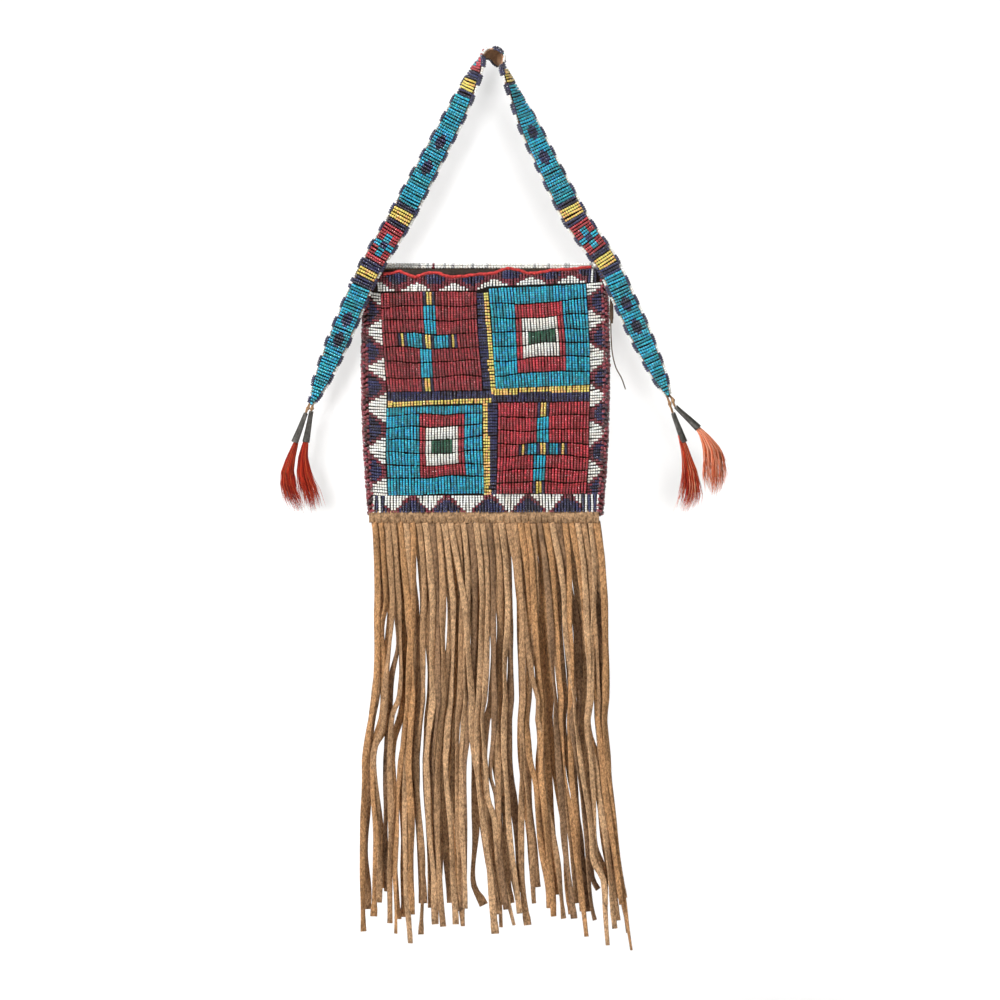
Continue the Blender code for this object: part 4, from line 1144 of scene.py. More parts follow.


# The front panel's outer face, under the bead lanes, is near-black hide: painted shade between the strings
make_panel("front_hide", FRONT, [HIDE_BROWN, HIDE_SOIL_AND_SHADE], "front_panel", "hide_brown")
make_panel("back_hide", BACK, [HIDE_PLAIN], "back_panel", "hide_tan")


# Beadwork on the front panel, sewn in lanes: places are pixels of the photograph

STRING_PX = 2.95
BEAD_PX = 2.33
BEAD_RADIUS = 0.00081
STRING_FILL = 0.93
LANE_ARCH = 0.00185
SKIM_ARCH = 0.0004
SEAM_CUT_PX = 0.62
# The corner and scale of the zoomed view that fields, bands and the piping were measured in
VIEW_CORNER = (350.0, 240.0)
VIEW_ZOOM = 5.6


def front_place(px, py, out):
    """The place over the front panel that a pixel shows."""
    depth = -POUCH_DROP - (ORIGIN_PX[1] - py) * PIXEL
    across = ((px - ORIGIN_PX[0]) * PIXEL + POUCH_SHIFT) / side_scale(depth)
    return pouch_place(across, depth, FRONT, out)


def skin_frame(px, py, out):
    """Centre, right, up and outward directions on the front skin at a pixel."""
    right = (front_place(px + 2.0, py, out) - front_place(px - 2.0, py, out)).normalized()
    up = (front_place(px, py - 2.0, out) - front_place(px, py + 2.0, out)).normalized()
    return front_place(px, py, out), right, up, right.cross(up)


def make_string(beads, start, end, colour_at, count=None, arch=LANE_ARCH):
    """One string of beads sewn down at both ends, so that its middle stands up a little.

    colour_at gives the colour at a share of the string's length.
    """
    length = math.hypot(end[0] - start[0], end[1] - start[1])
    count = count or max(1, round(length / BEAD_PX))
    lift = rng.normal(0.0, 0.00016)
    lean = rng.normal(0.0, 0.16)
    bow = rng.normal(0.0, 0.12)
    level = float(np.clip(rng.normal(0.5, 0.30), 0.0, 1.0))
    size = BEAD_RADIUS * (1.0 + rng.normal(0.0, 0.05))
    half = length * PIXEL / count / 2.0 * STRING_FILL
    run_x, run_y = (end[0] - start[0]) / length, (end[1] - start[1]) / length
    for k in range(count):
        share = (k + 0.5) / count
        off = lean * (share - 0.5) + bow * math.sin(math.pi * share) + rng.normal(0.0, 0.05)
        x = start[0] + (end[0] - start[0]) * share - run_y * off
        y = start[1] + (end[1] - start[1]) * share + run_x * off
        height = SKIN_INNER + BEAD_RADIUS * 0.85 + arch * math.sin(math.pi * share) ** 0.8 + lift
        centre, right, up, outward = skin_frame(x, y, height)
        slope = arch * math.pi * math.cos(math.pi * share) / (length * PIXEL)
        axis = right * run_x - up * run_y + outward * slope
        beads.add(centre, axis, outward, size, half, colour_at(share), level)


def line_at(line, value):
    """Read a polyline of (place, reading) pairs."""
    places, readings = zip(*line)
    return float(np.interp(value, places, readings))


def crop(x, y):
    """From the zoomed view used for measuring to the photograph's pixels."""
    return VIEW_CORNER[0] + x / VIEW_ZOOM, VIEW_CORNER[1] + y / VIEW_ZOOM


class Field:
    """A four-cornered field sewn in level lanes of upright strings, measured in the zoomed view."""

    def __init__(self, left, right, drifts, seams, columns, seed):
        """left and right are (y, x) lines, and seams the lanes' edges.

        drifts says how far the seams lie off their levels, at the top left and right and at the foot
        left and right.
        """
        self.left = left
        self.right = right
        self.drifts = drifts
        self.seams = seams
        self.columns = columns
        self.seed = seed

    def corner(self, column, lane):
        """The pixel where a column's string meets a seam."""
        share = (column + 0.5) / self.columns
        last = len(self.seams) - 1
        edge = 1.0 - lane / last
        drift = (self.drifts[0] * (1.0 - share) + self.drifts[1] * share) * edge
        drift += (self.drifts[2] * (1.0 - share) + self.drifts[3] * share) * (1.0 - edge)
        y = self.seams[lane] + drift
        x = line_at(self.left, y) * (1.0 - share) + line_at(self.right, y) * share
        px, py = crop(x, y)
        waver = 1.15 if 0 < lane < last else 0.25
        return px + sway(px, py, self.seed, 0.35), py + sway(px, py, self.seed + 5.0, waver)

    def sew(self, beads, colour):
        for lane in range(len(self.seams) - 1):
            rows = max(3, round((self.seams[lane + 1] - self.seams[lane]) / VIEW_ZOOM / BEAD_PX))
            for column in range(self.columns):
                start = self.corner(column, lane)
                end = self.corner(column, lane + 1)
                start = (start[0], start[1] + SEAM_CUT_PX + rng.normal(0.0, 0.20))
                end = (end[0], end[1] - SEAM_CUT_PX + rng.normal(0.0, 0.20))
                make_string(beads, start, end, partial(colour, column, lane), rows)


UPPER_LEFT = Field(
    ((285, 172), (520, 180), (852, 207)), ((285, 708), (600, 722), (852, 742)), (4, -2, 0, -4),
    (288, 370, 445, 522, 605, 685, 770, 850), 32, 1.0,
)
UPPER_RIGHT = Field(
    ((262, 777), (550, 795), (832, 816)), ((240, 1322), (550, 1340), (810, 1345)), (8, -18, 6, -20),
    (262, 352, 432, 512, 590, 667, 747, 830), 32, 2.0,
)
LOWER_LEFT = Field(
    ((930, 206), (1200, 200), (1430, 212)), ((915, 742), (1200, 745), (1430, 752)), (12, -8, 4, -6),
    (928, 976, 1042, 1112, 1187, 1260, 1330, 1428), 32, 3.0,
)
LOWER_RIGHT = Field(
    ((905, 828), (1200, 824), (1420, 822)), ((905, 1342), (1200, 1336), (1420, 1325)), (2, -2, 2, 2),
    (907, 985, 1060, 1137, 1208, 1285, 1355, 1420), 30, 4.0,
)


def cross_colour(middles, arm, ground):
    """A straight cross: its middle column wanders by lane, and arm counts its turquoise columns each way."""
    def colour(column, lane, _share):
        place = column - middles[lane]
        if lane in (0, 6):
            if place in (0, 1):
                return "yellow"
            return "navy" if place in (-1, 2) else ground
        if lane != 3:
            return "turquoise" if -1 <= place <= 2 else ground
        if place in (0, 1):
            return "yellow"
        if place in (-1, 2):
            return "navy"
        far = -place if place < 0 else place - 1
        if 2 <= far < 2 + arm:
            return "turquoise"
        if far in (2 + arm, 4 + arm):
            return "navy"
        return "yellow" if far == 3 + arm else ground
    return colour


def box_colour(frame_columns, white_columns, green_columns):
    """A frame, a square and a small centre, one inside the other."""
    def colour(column, lane, _share):
        if lane in (0, 6) or not frame_columns[0] <= column <= frame_columns[1]:
            return "turquoise"
        if lane in (1, 5) or not white_columns[0] <= column <= white_columns[1]:
            return "red"
        if lane == 3 and green_columns[0] <= column <= green_columns[1]:
            return "green"
        return "white"
    return colour


UPPER_CROSS = cross_colour((15, 15, 15, 14, 13, 13, 13), 5, "old_red")
LOWER_CROSS = cross_colour((14, 14, 14, 14, 13, 13, 13), 3, "red")
CROSS_PARTS = ("field", "cross")
BOX_PARTS = ("field", "frame", "square", "centre")
FIELD_PIECES = (
    ("upper_left", UPPER_LEFT, UPPER_CROSS, CROSS_PARTS, "beads_red"),
    ("upper_right", UPPER_RIGHT, box_colour((8, 23), (10, 21), (12, 20)), BOX_PARTS, "beads_turquoise"),
    ("lower_left", LOWER_LEFT, box_colour((11, 25), (13, 23), (15, 21)), BOX_PARTS, "beads_turquoise"),
    ("lower_right", LOWER_RIGHT, LOWER_CROSS, CROSS_PARTS, "beads_red"),
)


def make_fields():
    for name, field, colour, parts, slot in FIELD_PIECES:
        beads = Beads()
        field.sew(beads, colour)
        settle(beads.build(f"{name}_lanes"), "pouch", slot, *[f"{name}_{part}" for part in parts])


make_fields()


# Dividers and borders of the beadwork

class Band:
    """A strip of short strings laid side by side between two edges, each a polyline in the zoomed view."""

    def __init__(self, upright, first, last, near, far, seed, slant=0.0):
        """upright bands run down the view with level strings; near and far are the strings' end lines."""
        self.upright = upright
        self.first = first
        self.last = last
        self.near = near
        self.far = far
        self.seed = seed
        self.slant = slant

    def sew(self, beads, colour):
        count = round((self.last - self.first) / VIEW_ZOOM / STRING_PX)
        for i in range(count):
            place = self.first + (self.last - self.first) * (i + 0.5) / count
            near, far = line_at(self.near, place), line_at(self.far, place)
            if self.upright:
                start, end = crop(near, place), crop(far, place)
            else:
                start, end = crop(place, near), crop(place, far)
            wave = sway(start[0], start[1], self.seed, 0.35)
            slant = self.slant + rng.normal(0.0, 0.35)
            if self.upright:
                start, end = (start[0], start[1] + wave - slant), (end[0], end[1] + wave + slant)
            else:
                start, end = (start[0] + wave - slant, start[1]), (end[0] + wave + slant, end[1])
            make_string(beads, start, end, partial(colour, place), arch=SKIM_ARCH)


def split_colour(line, near, far, before, after):
    """Two colours along each string, parted by a line in the zoomed view."""
    def colour(place, share):
        low, high = line_at(near, place), line_at(far, place)
        return before if low + (high - low) * share < line_at(line, place) else after
    return colour


# Name, whether it runs upright, its ends, its near, parting and far lines, and the colours before and after
DIVIDERS = (
    (
        "upper_divider", True, 292, 838,
        ((290, 708), (550, 720), (835, 746)),
        ((290, 750), (550, 767), (835, 782)),
        ((290, 774), (550, 794), (835, 816)),
        "navy", "yellow",
    ),
    (
        "lower_divider", True, 912, 1428,
        ((912, 744), (1200, 746), (1430, 750)),
        ((912, 775), (1200, 780), (1430, 786)),
        ((912, 827), (1200, 823), (1430, 820)),
        "yellow", "navy",
    ),
    (
        "left_divider", False, 208, 792,
        ((208, 852), (460, 848), (745, 846), (792, 842)),
        ((208, 905), (460, 893), (745, 884), (792, 884)),
        ((208, 938), (460, 922), (745, 914), (792, 910)),
        "navy", "yellow",
    ),
    (
        "right_divider", False, 793, 1345,
        ((793, 838), (822, 833), (1080, 822), (1345, 810)),
        ((793, 868), (822, 866), (1080, 854), (1345, 845)),
        ((793, 908), (822, 906), (1080, 905), (1345, 903)),
        "yellow", "navy",
    ),
)


def make_dividers():
    for i, (name, upright, first, last, near, split, far, before, after) in enumerate(DIVIDERS):
        beads = Beads()
        band = Band(upright, first, last, near, far, 6.0 + i)
        band.sew(beads, split_colour(split, near, far, before, after))
        settle(beads.build(f"{name}_beads"), "pouch", "beads_navy", name)


make_dividers()


def triangle_colour(middles, dark, pale, base_far, blocks=(), round_share=1.3):
    """Dark shapes with red round them on a white ground.

    Each shape has a half width in the zoomed view and a depth as a share of the string's length; base_far is
    True where strings end at the base.
    """
    def colour(place, share):
        for low, high, stripe in blocks:
            if low <= place <= high:
                return "navy" if int((place - low) / stripe) % 2 == 0 else "white"
        up = 1.0 - share if base_far else share
        away = min(abs(place - middle) for middle in middles)
        if (away / dark[0]) ** round_share + (max(0.0, up - 0.08) / dark[1]) ** round_share < 1.0:
            return "navy"
        if away / pale[0] + up / pale[1] < 1.0:
            return "dark_red"
        return "white"
    return colour


PIPING_LINE = (
    (215, 185), (280, 172), (330, 195), (370, 205), (420, 185), (480, 180), (560, 205), (640, 200),
    (720, 190), (800, 185), (880, 155), (940, 165), (1000, 185), (1060, 180), (1140, 165), (1240, 160),
    (1330, 148),
)
OUTER_LEFT = ((200, 134), (290, 104), (500, 90), (700, 89), (900, 103), (1300, 108), (1520, 113))
OUTER_RIGHT = ((130, 1408), (300, 1419), (500, 1436), (950, 1438), (1100, 1430), (1300, 1416), (1520, 1404))
TOP_NEAR = tuple((x, y + 10) for x, y in PIPING_LINE)
TOP_FAR = ((100, 286), (172, 287), (708, 284), (776, 260), (1322, 238), (1420, 234))
INNER_LEFT = ((285, 171), (520, 179), (852, 205), (930, 204), (1200, 198), (1432, 209))
INNER_RIGHT = ((240, 1324), (550, 1342), (810, 1347), (905, 1344), (1200, 1338), (1425, 1328))
BOTTOM_NEAR = ((100, 1432), (750, 1430), (820, 1422), (1420, 1422))
BOTTOM_FAR = ((100, 1528), (1420, 1524))
BORDERS = (
    (
        "top_border",
        Band(False, 150, 1380, TOP_NEAR, TOP_FAR, 11.0),
        triangle_colour(
            (50, 265, 475, 690, 900, 1130, 1338), (58, 0.52), (159, 1.09), False, ((1336, 1400, 16.5),), 2.0
        ),
    ),
    (
        "left_border",
        Band(True, 290, 1432, OUTER_LEFT, INNER_LEFT, 12.0, 0.7),
        triangle_colour((190, 400, 620, 820, 1060, 1290), (68, 0.70), (98, 1.50), False),
    ),
    (
        "right_border",
        Band(True, 240, 1425, INNER_RIGHT, OUTER_RIGHT, 13.0, -0.7),
        triangle_colour((350, 540, 770, 970, 1190, 1390), (66, 0.70), (95, 1.50), True),
    ),
    (
        "bottom_border",
        Band(False, 124, 1394, BOTTOM_NEAR, BOTTOM_FAR, 14.0),
        triangle_colour(
            (130, 345, 545, 780, 1000, 1220, 1420), (80, 0.68), (110, 1.18), True,
            ((110, 196, 16.5), (1300, 1400, 16.5)),
        ),
    ),
)


def make_borders():
    for name, band, colour in BORDERS:
        beads = Beads()
        band.sew(beads, colour)
        settle(beads.build(f"{name}_beads"), "pouch", "beads_white", name)


make_borders()


# The pouch's whipped edges, its beaded rim and its piping

WHIP_PITCH = 0.00290
WHIP_BEADS = 6
WHIP_LEAN = 0.0058
WHIP_RADIUS = 0.00120
WHIP_HALF = 0.00086
WHIP_SWEEP = 248.0
WHIP_REACH = 0.0026
WHIP_FRONT_DEPTH = 0.0037
WHIP_BACK_DEPTH = 0.0029
SEAM_RADIUS = 0.00155


def heading(path, i):
    """The way a path runs at one of its places."""
    return (path[min(i + 1, len(path) - 1)] - path[max(i - 1, 0)]).normalized()


def round_tube(name, path, radii, sides, material, wobble):
    """A closed tube of given radii along a path of places."""
    sections = []
    for i, place in enumerate(path):
        along = heading(path, i)
        first = along.cross(Vector((0.0, 1.0, 0.0)))
        if first.length < 0.1:
            first = along.cross(Vector((1.0, 0.0, 0.0)))
        first.normalize()
        second = along.cross(first)
        ring = []
        for k in range(sides):
            angle = 2.0 * math.pi * k / sides
            radius = radii[i] * (1.0 + wobble * math.sin(3.0 * angle + i * 0.8))
            ring.append(place + first * (radius * math.cos(angle)) + second * (radius * math.sin(angle)))
        sections.append(ring)
    return closed_tube(name, sections, [material])


def make_whipped_edge(name, side, node):
    """Slanting strings of beads whipped round one side of the pouch, and the seam under them in near-black
    hide, painted shade between the strings.
    """
    beads = Beads()
    count = round((POUCH_HEIGHT - 0.001) / WHIP_PITCH)
    for i in range(count):
        depth = 0.0015 + (POUCH_HEIGHT - 0.003) * i / (count - 1)
        loose = rng.normal(0.0, 0.00012)
        lean = WHIP_LEAN * (1.0 + 0.4 * math.sin(i * 0.9))
        for k in range(WHIP_BEADS):
            turn = math.radians(-WHIP_SWEEP / 2.0 + WHIP_SWEEP * (k + 0.5) / WHIP_BEADS)
            across = HALF_WIDTH - 0.0004 + WHIP_REACH * math.cos(turn) + loose
            low = depth + lean * (k / (WHIP_BEADS - 1) - 0.5)
            place = pouch_place(side * across, low, FRONT, 0.0)
            place.y = POUCH_SETBACK + (WHIP_FRONT_DEPTH if turn < 0.0 else WHIP_BACK_DEPTH) * math.sin(turn)
            run = (-side * WHIP_REACH * math.sin(turn), WHIP_BACK_DEPTH * math.cos(turn), -lean / 3.9)
            outside = Vector((side * math.cos(turn), math.sin(turn), 0.0))
            beads.add(place, Vector(run), outside, WHIP_RADIUS, WHIP_HALF, "whip", rng.random())
    settle(beads.build(name), "pouch", "beads_dark_red", node)
    path = []
    for depth in spread(0.001, POUCH_HEIGHT - 0.0012, 0.004):
        place = pouch_place(side * (HALF_WIDTH - 0.0002), depth, FRONT, 0.0)
        place.y = POUCH_SETBACK
        path.append(place)
    # The seam is near-black hide: painted shade seen between the whipped strings
    seam = round_tube(f"{name}_seam", path, [SEAM_RADIUS] * len(path), 10, HIDE_SOIL_AND_SHADE, 0.05)
    settle(seam, "pouch", "hide_dark")


make_whipped_edge("left_whipped_edge", LEFT, "left_edge_beading")
make_whipped_edge("right_whipped_edge", RIGHT, "right_edge_beading")


# A wrap of beads goes over the rim at each pitch, and the piping's ends are places in the zoomed view
RIM_PITCH = 0.00185
RIM_TURNS = (-100.0, -50.0, 0.0, 50.0, 100.0)
RIM_DEPTH = 0.00165
RIM_HEIGHT = 0.00195
RIM_RADIUS = 0.00090
RIM_HALF = 0.00078
PIPING_RADIUS = 0.00096
PIPING_SPAN = (186.0, 1352.0)


def make_rim():
    """Beads wrapped over the back panel's top edge."""
    beads = Beads()
    span = 2.0 * HALF_WIDTH - 0.004
    count = round(span / RIM_PITCH)
    dark = set(rng.choice(count, size=count // 6, replace=False).tolist())
    for i in range(count):
        across = -HALF_WIDTH + 0.002 + span * i / (count - 1)
        centre = pouch_place(across, -BACK_RISE + 0.0004, BACK, HIDE / 2.0)
        key = "grey" if i in dark else ("white" if rng.random() < 0.95 else "dark_red")
        for turn_deg in RIM_TURNS:
            turn = math.radians(turn_deg)
            place = centre + Vector((0.0, RIM_DEPTH * math.sin(turn), 0.0004 + RIM_HEIGHT * math.cos(turn)))
            axis = Vector((0.0, math.cos(turn), -math.sin(turn)))
            outside = Vector((0.0, math.sin(turn), math.cos(turn)))
            beads.add(place, axis, outside, RIM_RADIUS, RIM_HALF, key)
    settle(beads.build("mouth_rim_beads"), "pouch", "beads_white", "back_mouth_rim")


make_rim()


def make_piping():
    """A roll of red cloth along the mouth, wavering as it was sewn."""
    path = []
    radii = []
    start, end = PIPING_SPAN
    count = 260
    for i in range(count + 1):
        x = start + (end - start) * i / count
        px, py = crop(x, line_at(PIPING_LINE, x) + 2.0)
        path.append(front_place(px, py + 0.25 * math.sin(x * 0.11), SKIN_INNER + PIPING_RADIUS * 0.9))
        radii.append(PIPING_RADIUS * (1.0 + 0.08 * math.sin(i * 0.9) + 0.05 * math.sin(i * 0.37)))
    roll = round_tube("mouth_piping_roll", path, radii, 14, CLOTH_RED, 0.03)
    settle(roll, "pouch", "piping_red", "mouth_piping")


make_piping()


# Hem and fringe

HEM_TOP = -0.3028
HEM_HEIGHT = 0.0045
HEM_LAP = 0.0034
HEM_HALF = HALF_WIDTH * side_scale(0.160) - 0.0020
FRINGE_TOP = -0.3081
FRINGE_THONGS = 36
THONG_THICK = 0.0011
THONG_STEPS = 60
BACK_BREADTH = 1.22


def make_hem():
    """The hide strip that holds the fringe: its top laps over the beads, and cuts run up into its foot."""
    sections = []
    steps = 12
    count = FRINGE_THONGS * steps
    for i in range(count + 1):
        u = 2.0 * i / count - 1.0
        dent = 0.00018 * math.sin(i * 0.43) + 0.00012 * math.sin(i * 0.155 + 1.0)
        away = (i / steps + 0.12 * math.sin(i * 0.115) + 0.5) % 1.0 - 0.5
        groove = math.exp(-(away / 0.10) ** 2)
        x = u * (HEM_HALF + 0.0031) - POUCH_SHIFT - 0.0010
        top = HEM_TOP + HEM_LAP + 0.00045 * math.sin(i * 0.047) + 0.00025 * math.sin(i * 0.155) + 0.4 * dent
        low = HEM_TOP - HEM_HEIGHT
        cut = top - 0.0046 - 0.0004 * math.sin(i * 0.29)
        fat = 0.0030 + dent
        outline = [
            (-fat * 0.60, top),
            (-fat, top - 0.0007),
            (-fat * 1.04, top - 0.0018),
            (-fat * 0.96, top - 0.0032),
            (-0.0025 + groove * 0.0004, cut),
            (-0.0021 + groove * 0.0014, cut - 0.0010),
            (-0.0013 + groove * 0.0012, low),
            (0.0016, low),
            (0.0019, (HEM_TOP + low) / 2.0),
            (0.0021, HEM_TOP + 0.0002),
            (0.0012, HEM_TOP + 0.0009),
        ]
        sections.append([Vector((x, POUCH_SETBACK + y, z)) for y, z in outline])
    settle(closed_tube("fringe_hem_hide", sections, [HIDE_TAN_LIGHT]), "pouch", "hide_tan", "fringe_hem")


make_hem()


# Outlines of the hanging fringe and its longest tips, in the photograph's pixels
FRINGE_LEFT = ((515, 369), (530, 372), (600, 376), (700, 372), (760, 363), (850, 362), (920, 362), (960, 362))
FRINGE_RIGHT = (
    (515, 599), (530, 601), (560, 605), (600, 607), (700, 608),
    (720, 606), (780, 610), (860, 619), (950, 632), (960, 634),
)
FRINGE_TIPS = (
    (364, 932), (373, 917), (377, 903), (391, 924), (396, 934), (409, 944), (414, 915), (421, 935),
    (434, 925), (438, 906), (443, 927), (455, 925), (459, 912), (463, 927), (466, 909), (494, 934),
    (497, 915), (501, 928), (506, 910), (513, 926), (519, 914), (529, 926), (536, 904), (547, 909),
    (554, 917), (563, 919), (575, 919), (582, 912), (588, 937), (597, 921), (602, 905), (608, 946),
    (615, 929), (619, 921), (622, 905), (635, 951),
)
# Front thongs that end in one another's places and so cross on the way
CROSSED_TIPS = {4: 6, 6: 4, 12: 15, 15: 12, 17: 19, 19: 17, 21: 25, 25: 21, 28: 30, 30: 28, 31: 34, 34: 31}
# Thongs that keep to the left and swing right only near their tips
LATE_THONGS = (15, 16, 17, 18, 19, 20)
# Leaf-shaped openings between thongs: middle, half width and half height in the photograph's pixels
FRINGE_OPENINGS = (
    (383, 613, 2.4, 34), (396, 700, 4.2, 56), (379, 745, 3.2, 50), (487, 726, 3.4, 40), (534, 730, 4.2, 52),
    (572, 628, 3.4, 40), (593, 752, 3.0, 50), (492, 795, 2.8, 40), (417, 565, 2.2, 36), (447, 612, 2.2, 40),
    (478, 905, 6.0, 50), (598, 880, 4.4, 50), (372, 850, 2.6, 50), (419, 885, 2.0, 36), (541, 890, 1.8, 30),
)


def opening_push(x, y):
    """How far a thong at a pixel is pushed sideways by the openings near it."""
    push = 0.0
    for middle_x, middle_y, half, tall in FRINGE_OPENINGS:
        away = x - middle_x
        near = math.exp(-((away / 9.0) ** 2) - ((y - middle_y) / tall) ** 2)
        push += half * near * math.tanh(away / 1.2)
    return push


def thong_path(i, layer):
    """Places down one thong of a layer, with its half width and turn at each."""
    top_share = (i + (0.5 if layer == FRONT else 0.98)) / FRINGE_THONGS
    top_share = min(top_share, 1.0 - 0.35 / FRINGE_THONGS)
    tip_x, tip_y = FRINGE_TIPS[CROSSED_TIPS.get(i, i) if layer == FRONT else i]
    if layer == BACK:
        next_x, next_y = FRINGE_TIPS[min(i + 1, FRINGE_THONGS - 1)]
        tip_x = (tip_x + next_x) / 2.0 + rng.normal(0.0, 1.5)
        tip_y = min(tip_y, next_y) - 2.0 - 20.0 * rng.random()
    left, right = line_at(FRINGE_LEFT, tip_y), line_at(FRINGE_RIGHT, tip_y)
    tip_share = float(np.clip((tip_x - left) / (right - left), 0.004, 0.996))
    top_y = ORIGIN_PX[1] - (FRINGE_TOP + 0.0019) / PIXEL
    length = tip_y - top_y
    phase = rng.uniform(0.0, 6.283, 5)
    size = rng.uniform(0.4, 1.0, 3)
    rise = rng.uniform(-1.0, 1.0)
    first = rng.uniform(-1.0, 1.0)
    cut = rng.uniform(0.00155, 0.00200)
    broad = rng.uniform(0.00172, 0.00222)
    places = []
    for k in range(THONG_STEPS + 1):
        share = k / THONG_STEPS
        y = top_y + length * share
        blend = share ** 3.4 if i in LATE_THONGS else share ** 1.4 * (2.2 - 1.2 * share ** 1.4)
        across = top_share + (tip_share - top_share) * min(1.0, blend)
        left, right = line_at(FRINGE_LEFT, y), line_at(FRINGE_RIGHT, y)
        loose = min(1.0, share * 3.0)
        wave = loose * (
            1.8 * size[0] * math.sin(2.0 * math.pi * share * 1.1 + phase[0])
            + 1.0 * size[1] * math.sin(2.0 * math.pi * share * 2.3 + phase[1])
            + 0.45 * size[2] * math.sin(2.0 * math.pi * share * 4.7 + phase[2])
        )
        edge = min(across, 1.0 - across) * (right - left)
        wave *= min(1.0, 0.30 + edge / 10.0)
        x = left + (right - left) * across + wave
        x += opening_push(x, y) * min(1.0, share * 5.0)
        stack = 0.00060 * (1.0 if i % 2 else -1.0) * min(1.0, 0.15 + share * 9.0)
        out = 0.00040 + 0.00055 * min(1.0, share * 30.0)
        out += 0.0026 * loose * (0.5 + 0.5 * math.sin(2.0 * math.pi * share * 1.3 + phase[3]))
        out += 0.0010 * loose if layer == FRONT and CROSSED_TIPS.get(i, i) > i else 0.0
        depth = POUCH_SETBACK + layer * (out + 0.0008 * loose) + stack
        place = at(x, y, depth)
        turn = 0.60 * first * min(1.0, share * 16.0) * max(0.0, 1.0 - share * 4.0)
        turn += loose * (0.60 * math.sin(2.0 * math.pi * share * 0.9 + phase[1]) + 0.40 * rise * share)
        turn += loose * 0.45 * math.sin(2.0 * math.pi * share * 3.1 + phase[2])
        narrow = max(0.0, 1.0 - share * 5.0)
        wide = broad + (cut - broad) * narrow
        wide *= 1.0 + 0.10 * math.sin(14.0 * share + phase[0]) + 0.05 * math.sin(37.0 * share + phase[4])
        wide *= 1.0 if layer == FRONT else BACK_BREADTH
        if share > 0.97:
            wide *= 0.55 + 0.75 * size[1]
        places.append((place, wide, turn))
    return places


# A thong's section as shares of its half width and half thickness
STRIP_CORNERS = (
    (-0.72, -1.0), (0.0, -1.05), (0.72, -1.0), (1.0, -0.35), (1.0, 0.35),
    (0.72, 1.0), (0.0, 1.05), (-0.72, 1.0), (-1.0, 0.35), (-1.0, -0.35),
)


def strip_section(place, along, half, turn, thick):
    """A flat strip's ring round a place: rounded edges, turned about the way it runs."""
    side = Vector((math.cos(turn), math.sin(turn), 0.0))
    side = (side - along * side.dot(along)).normalized()
    face = along.cross(side)
    return [place + side * (half * a) + face * (thick / 2.0 * b) for a, b in STRIP_CORNERS]


def make_fringe(name, layer, body, node):
    """One layer: a band of hide cut into thongs that hang and waver."""
    sides = len(STRIP_CORNERS)
    verts = []
    faces = []
    slots = []
    for i in range(FRINGE_THONGS):
        path = thong_path(i, layer)
        shade = int(rng.choice(4, p=(0.40, 0.25, 0.18, 0.17)))
        base = len(verts)
        places = [place for place, wide, turn in path]
        for k, (place, wide, turn) in enumerate(path):
            verts.extend(strip_section(place, heading(places, k), wide, turn, THONG_THICK))
        for k in range(THONG_STEPS):
            for j in range(sides):
                m = (j + 1) % sides
                low, high = base + k * sides, base + (k + 1) * sides
                faces.append((low + j, low + m, high + m, high + j))
        for start, turned in ((base, False), (base + THONG_STEPS * sides, True)):
            ring = [start + j for j in range(sides)]
            for a in range(1, sides // 2):
                quad = (ring[a - 1], ring[a], ring[sides - 1 - a], ring[(sides - a) % sides])
                faces.append(quad if turned else quad[::-1])
        slots += [shade] * (len(faces) - len(slots))
    materials = [HIDE_TAN, HIDE_TAN_LIGHT, HIDE_TAN_DARK, HIDE_TAN_WARM]
    settle(mesh_object(name, [tuple(v) for v in verts], faces, materials, slots), body, "hide_tan", node)


make_fringe("fringe_back_thongs", BACK, "fringe_back", "back_fringe")
make_fringe("fringe_front_thongs", FRONT, "fringe_front", "front_fringe")


# Pendants: a thong, a rolled tin cone and a tuft of dyed horsehair

CONE_LENGTH = 0.0205
CONE_TOP_RADIUS = 0.0014
CONE_MOUTH_RADIUS = 0.0024
CONE_WALL = 0.00035
PENDANT_THONG = 0.0095
PENDANT_PAIR_SPACING = 0.0024
# Arm, name, side of the pair, tilt, the thong's share and how far the cone lies beside the thong's line
PENDANTS = (
    (LEFT_ARM, "left_outer_pendant", 1, 20.8, 0.54, 0.0),
    (LEFT_ARM, "left_inner_pendant", -1, 10.0, 0.28, 0.0),
    (RIGHT_ARM, "right_inner_pendant", -1, 20.5, 1.0, 0.0),
    (RIGHT_ARM, "right_outer_pendant", 1, 46.5, 0.63, -0.0023),
)


def cone_radius(share):
    return CONE_TOP_RADIUS + (CONE_MOUTH_RADIUS - CONE_TOP_RADIUS) * share


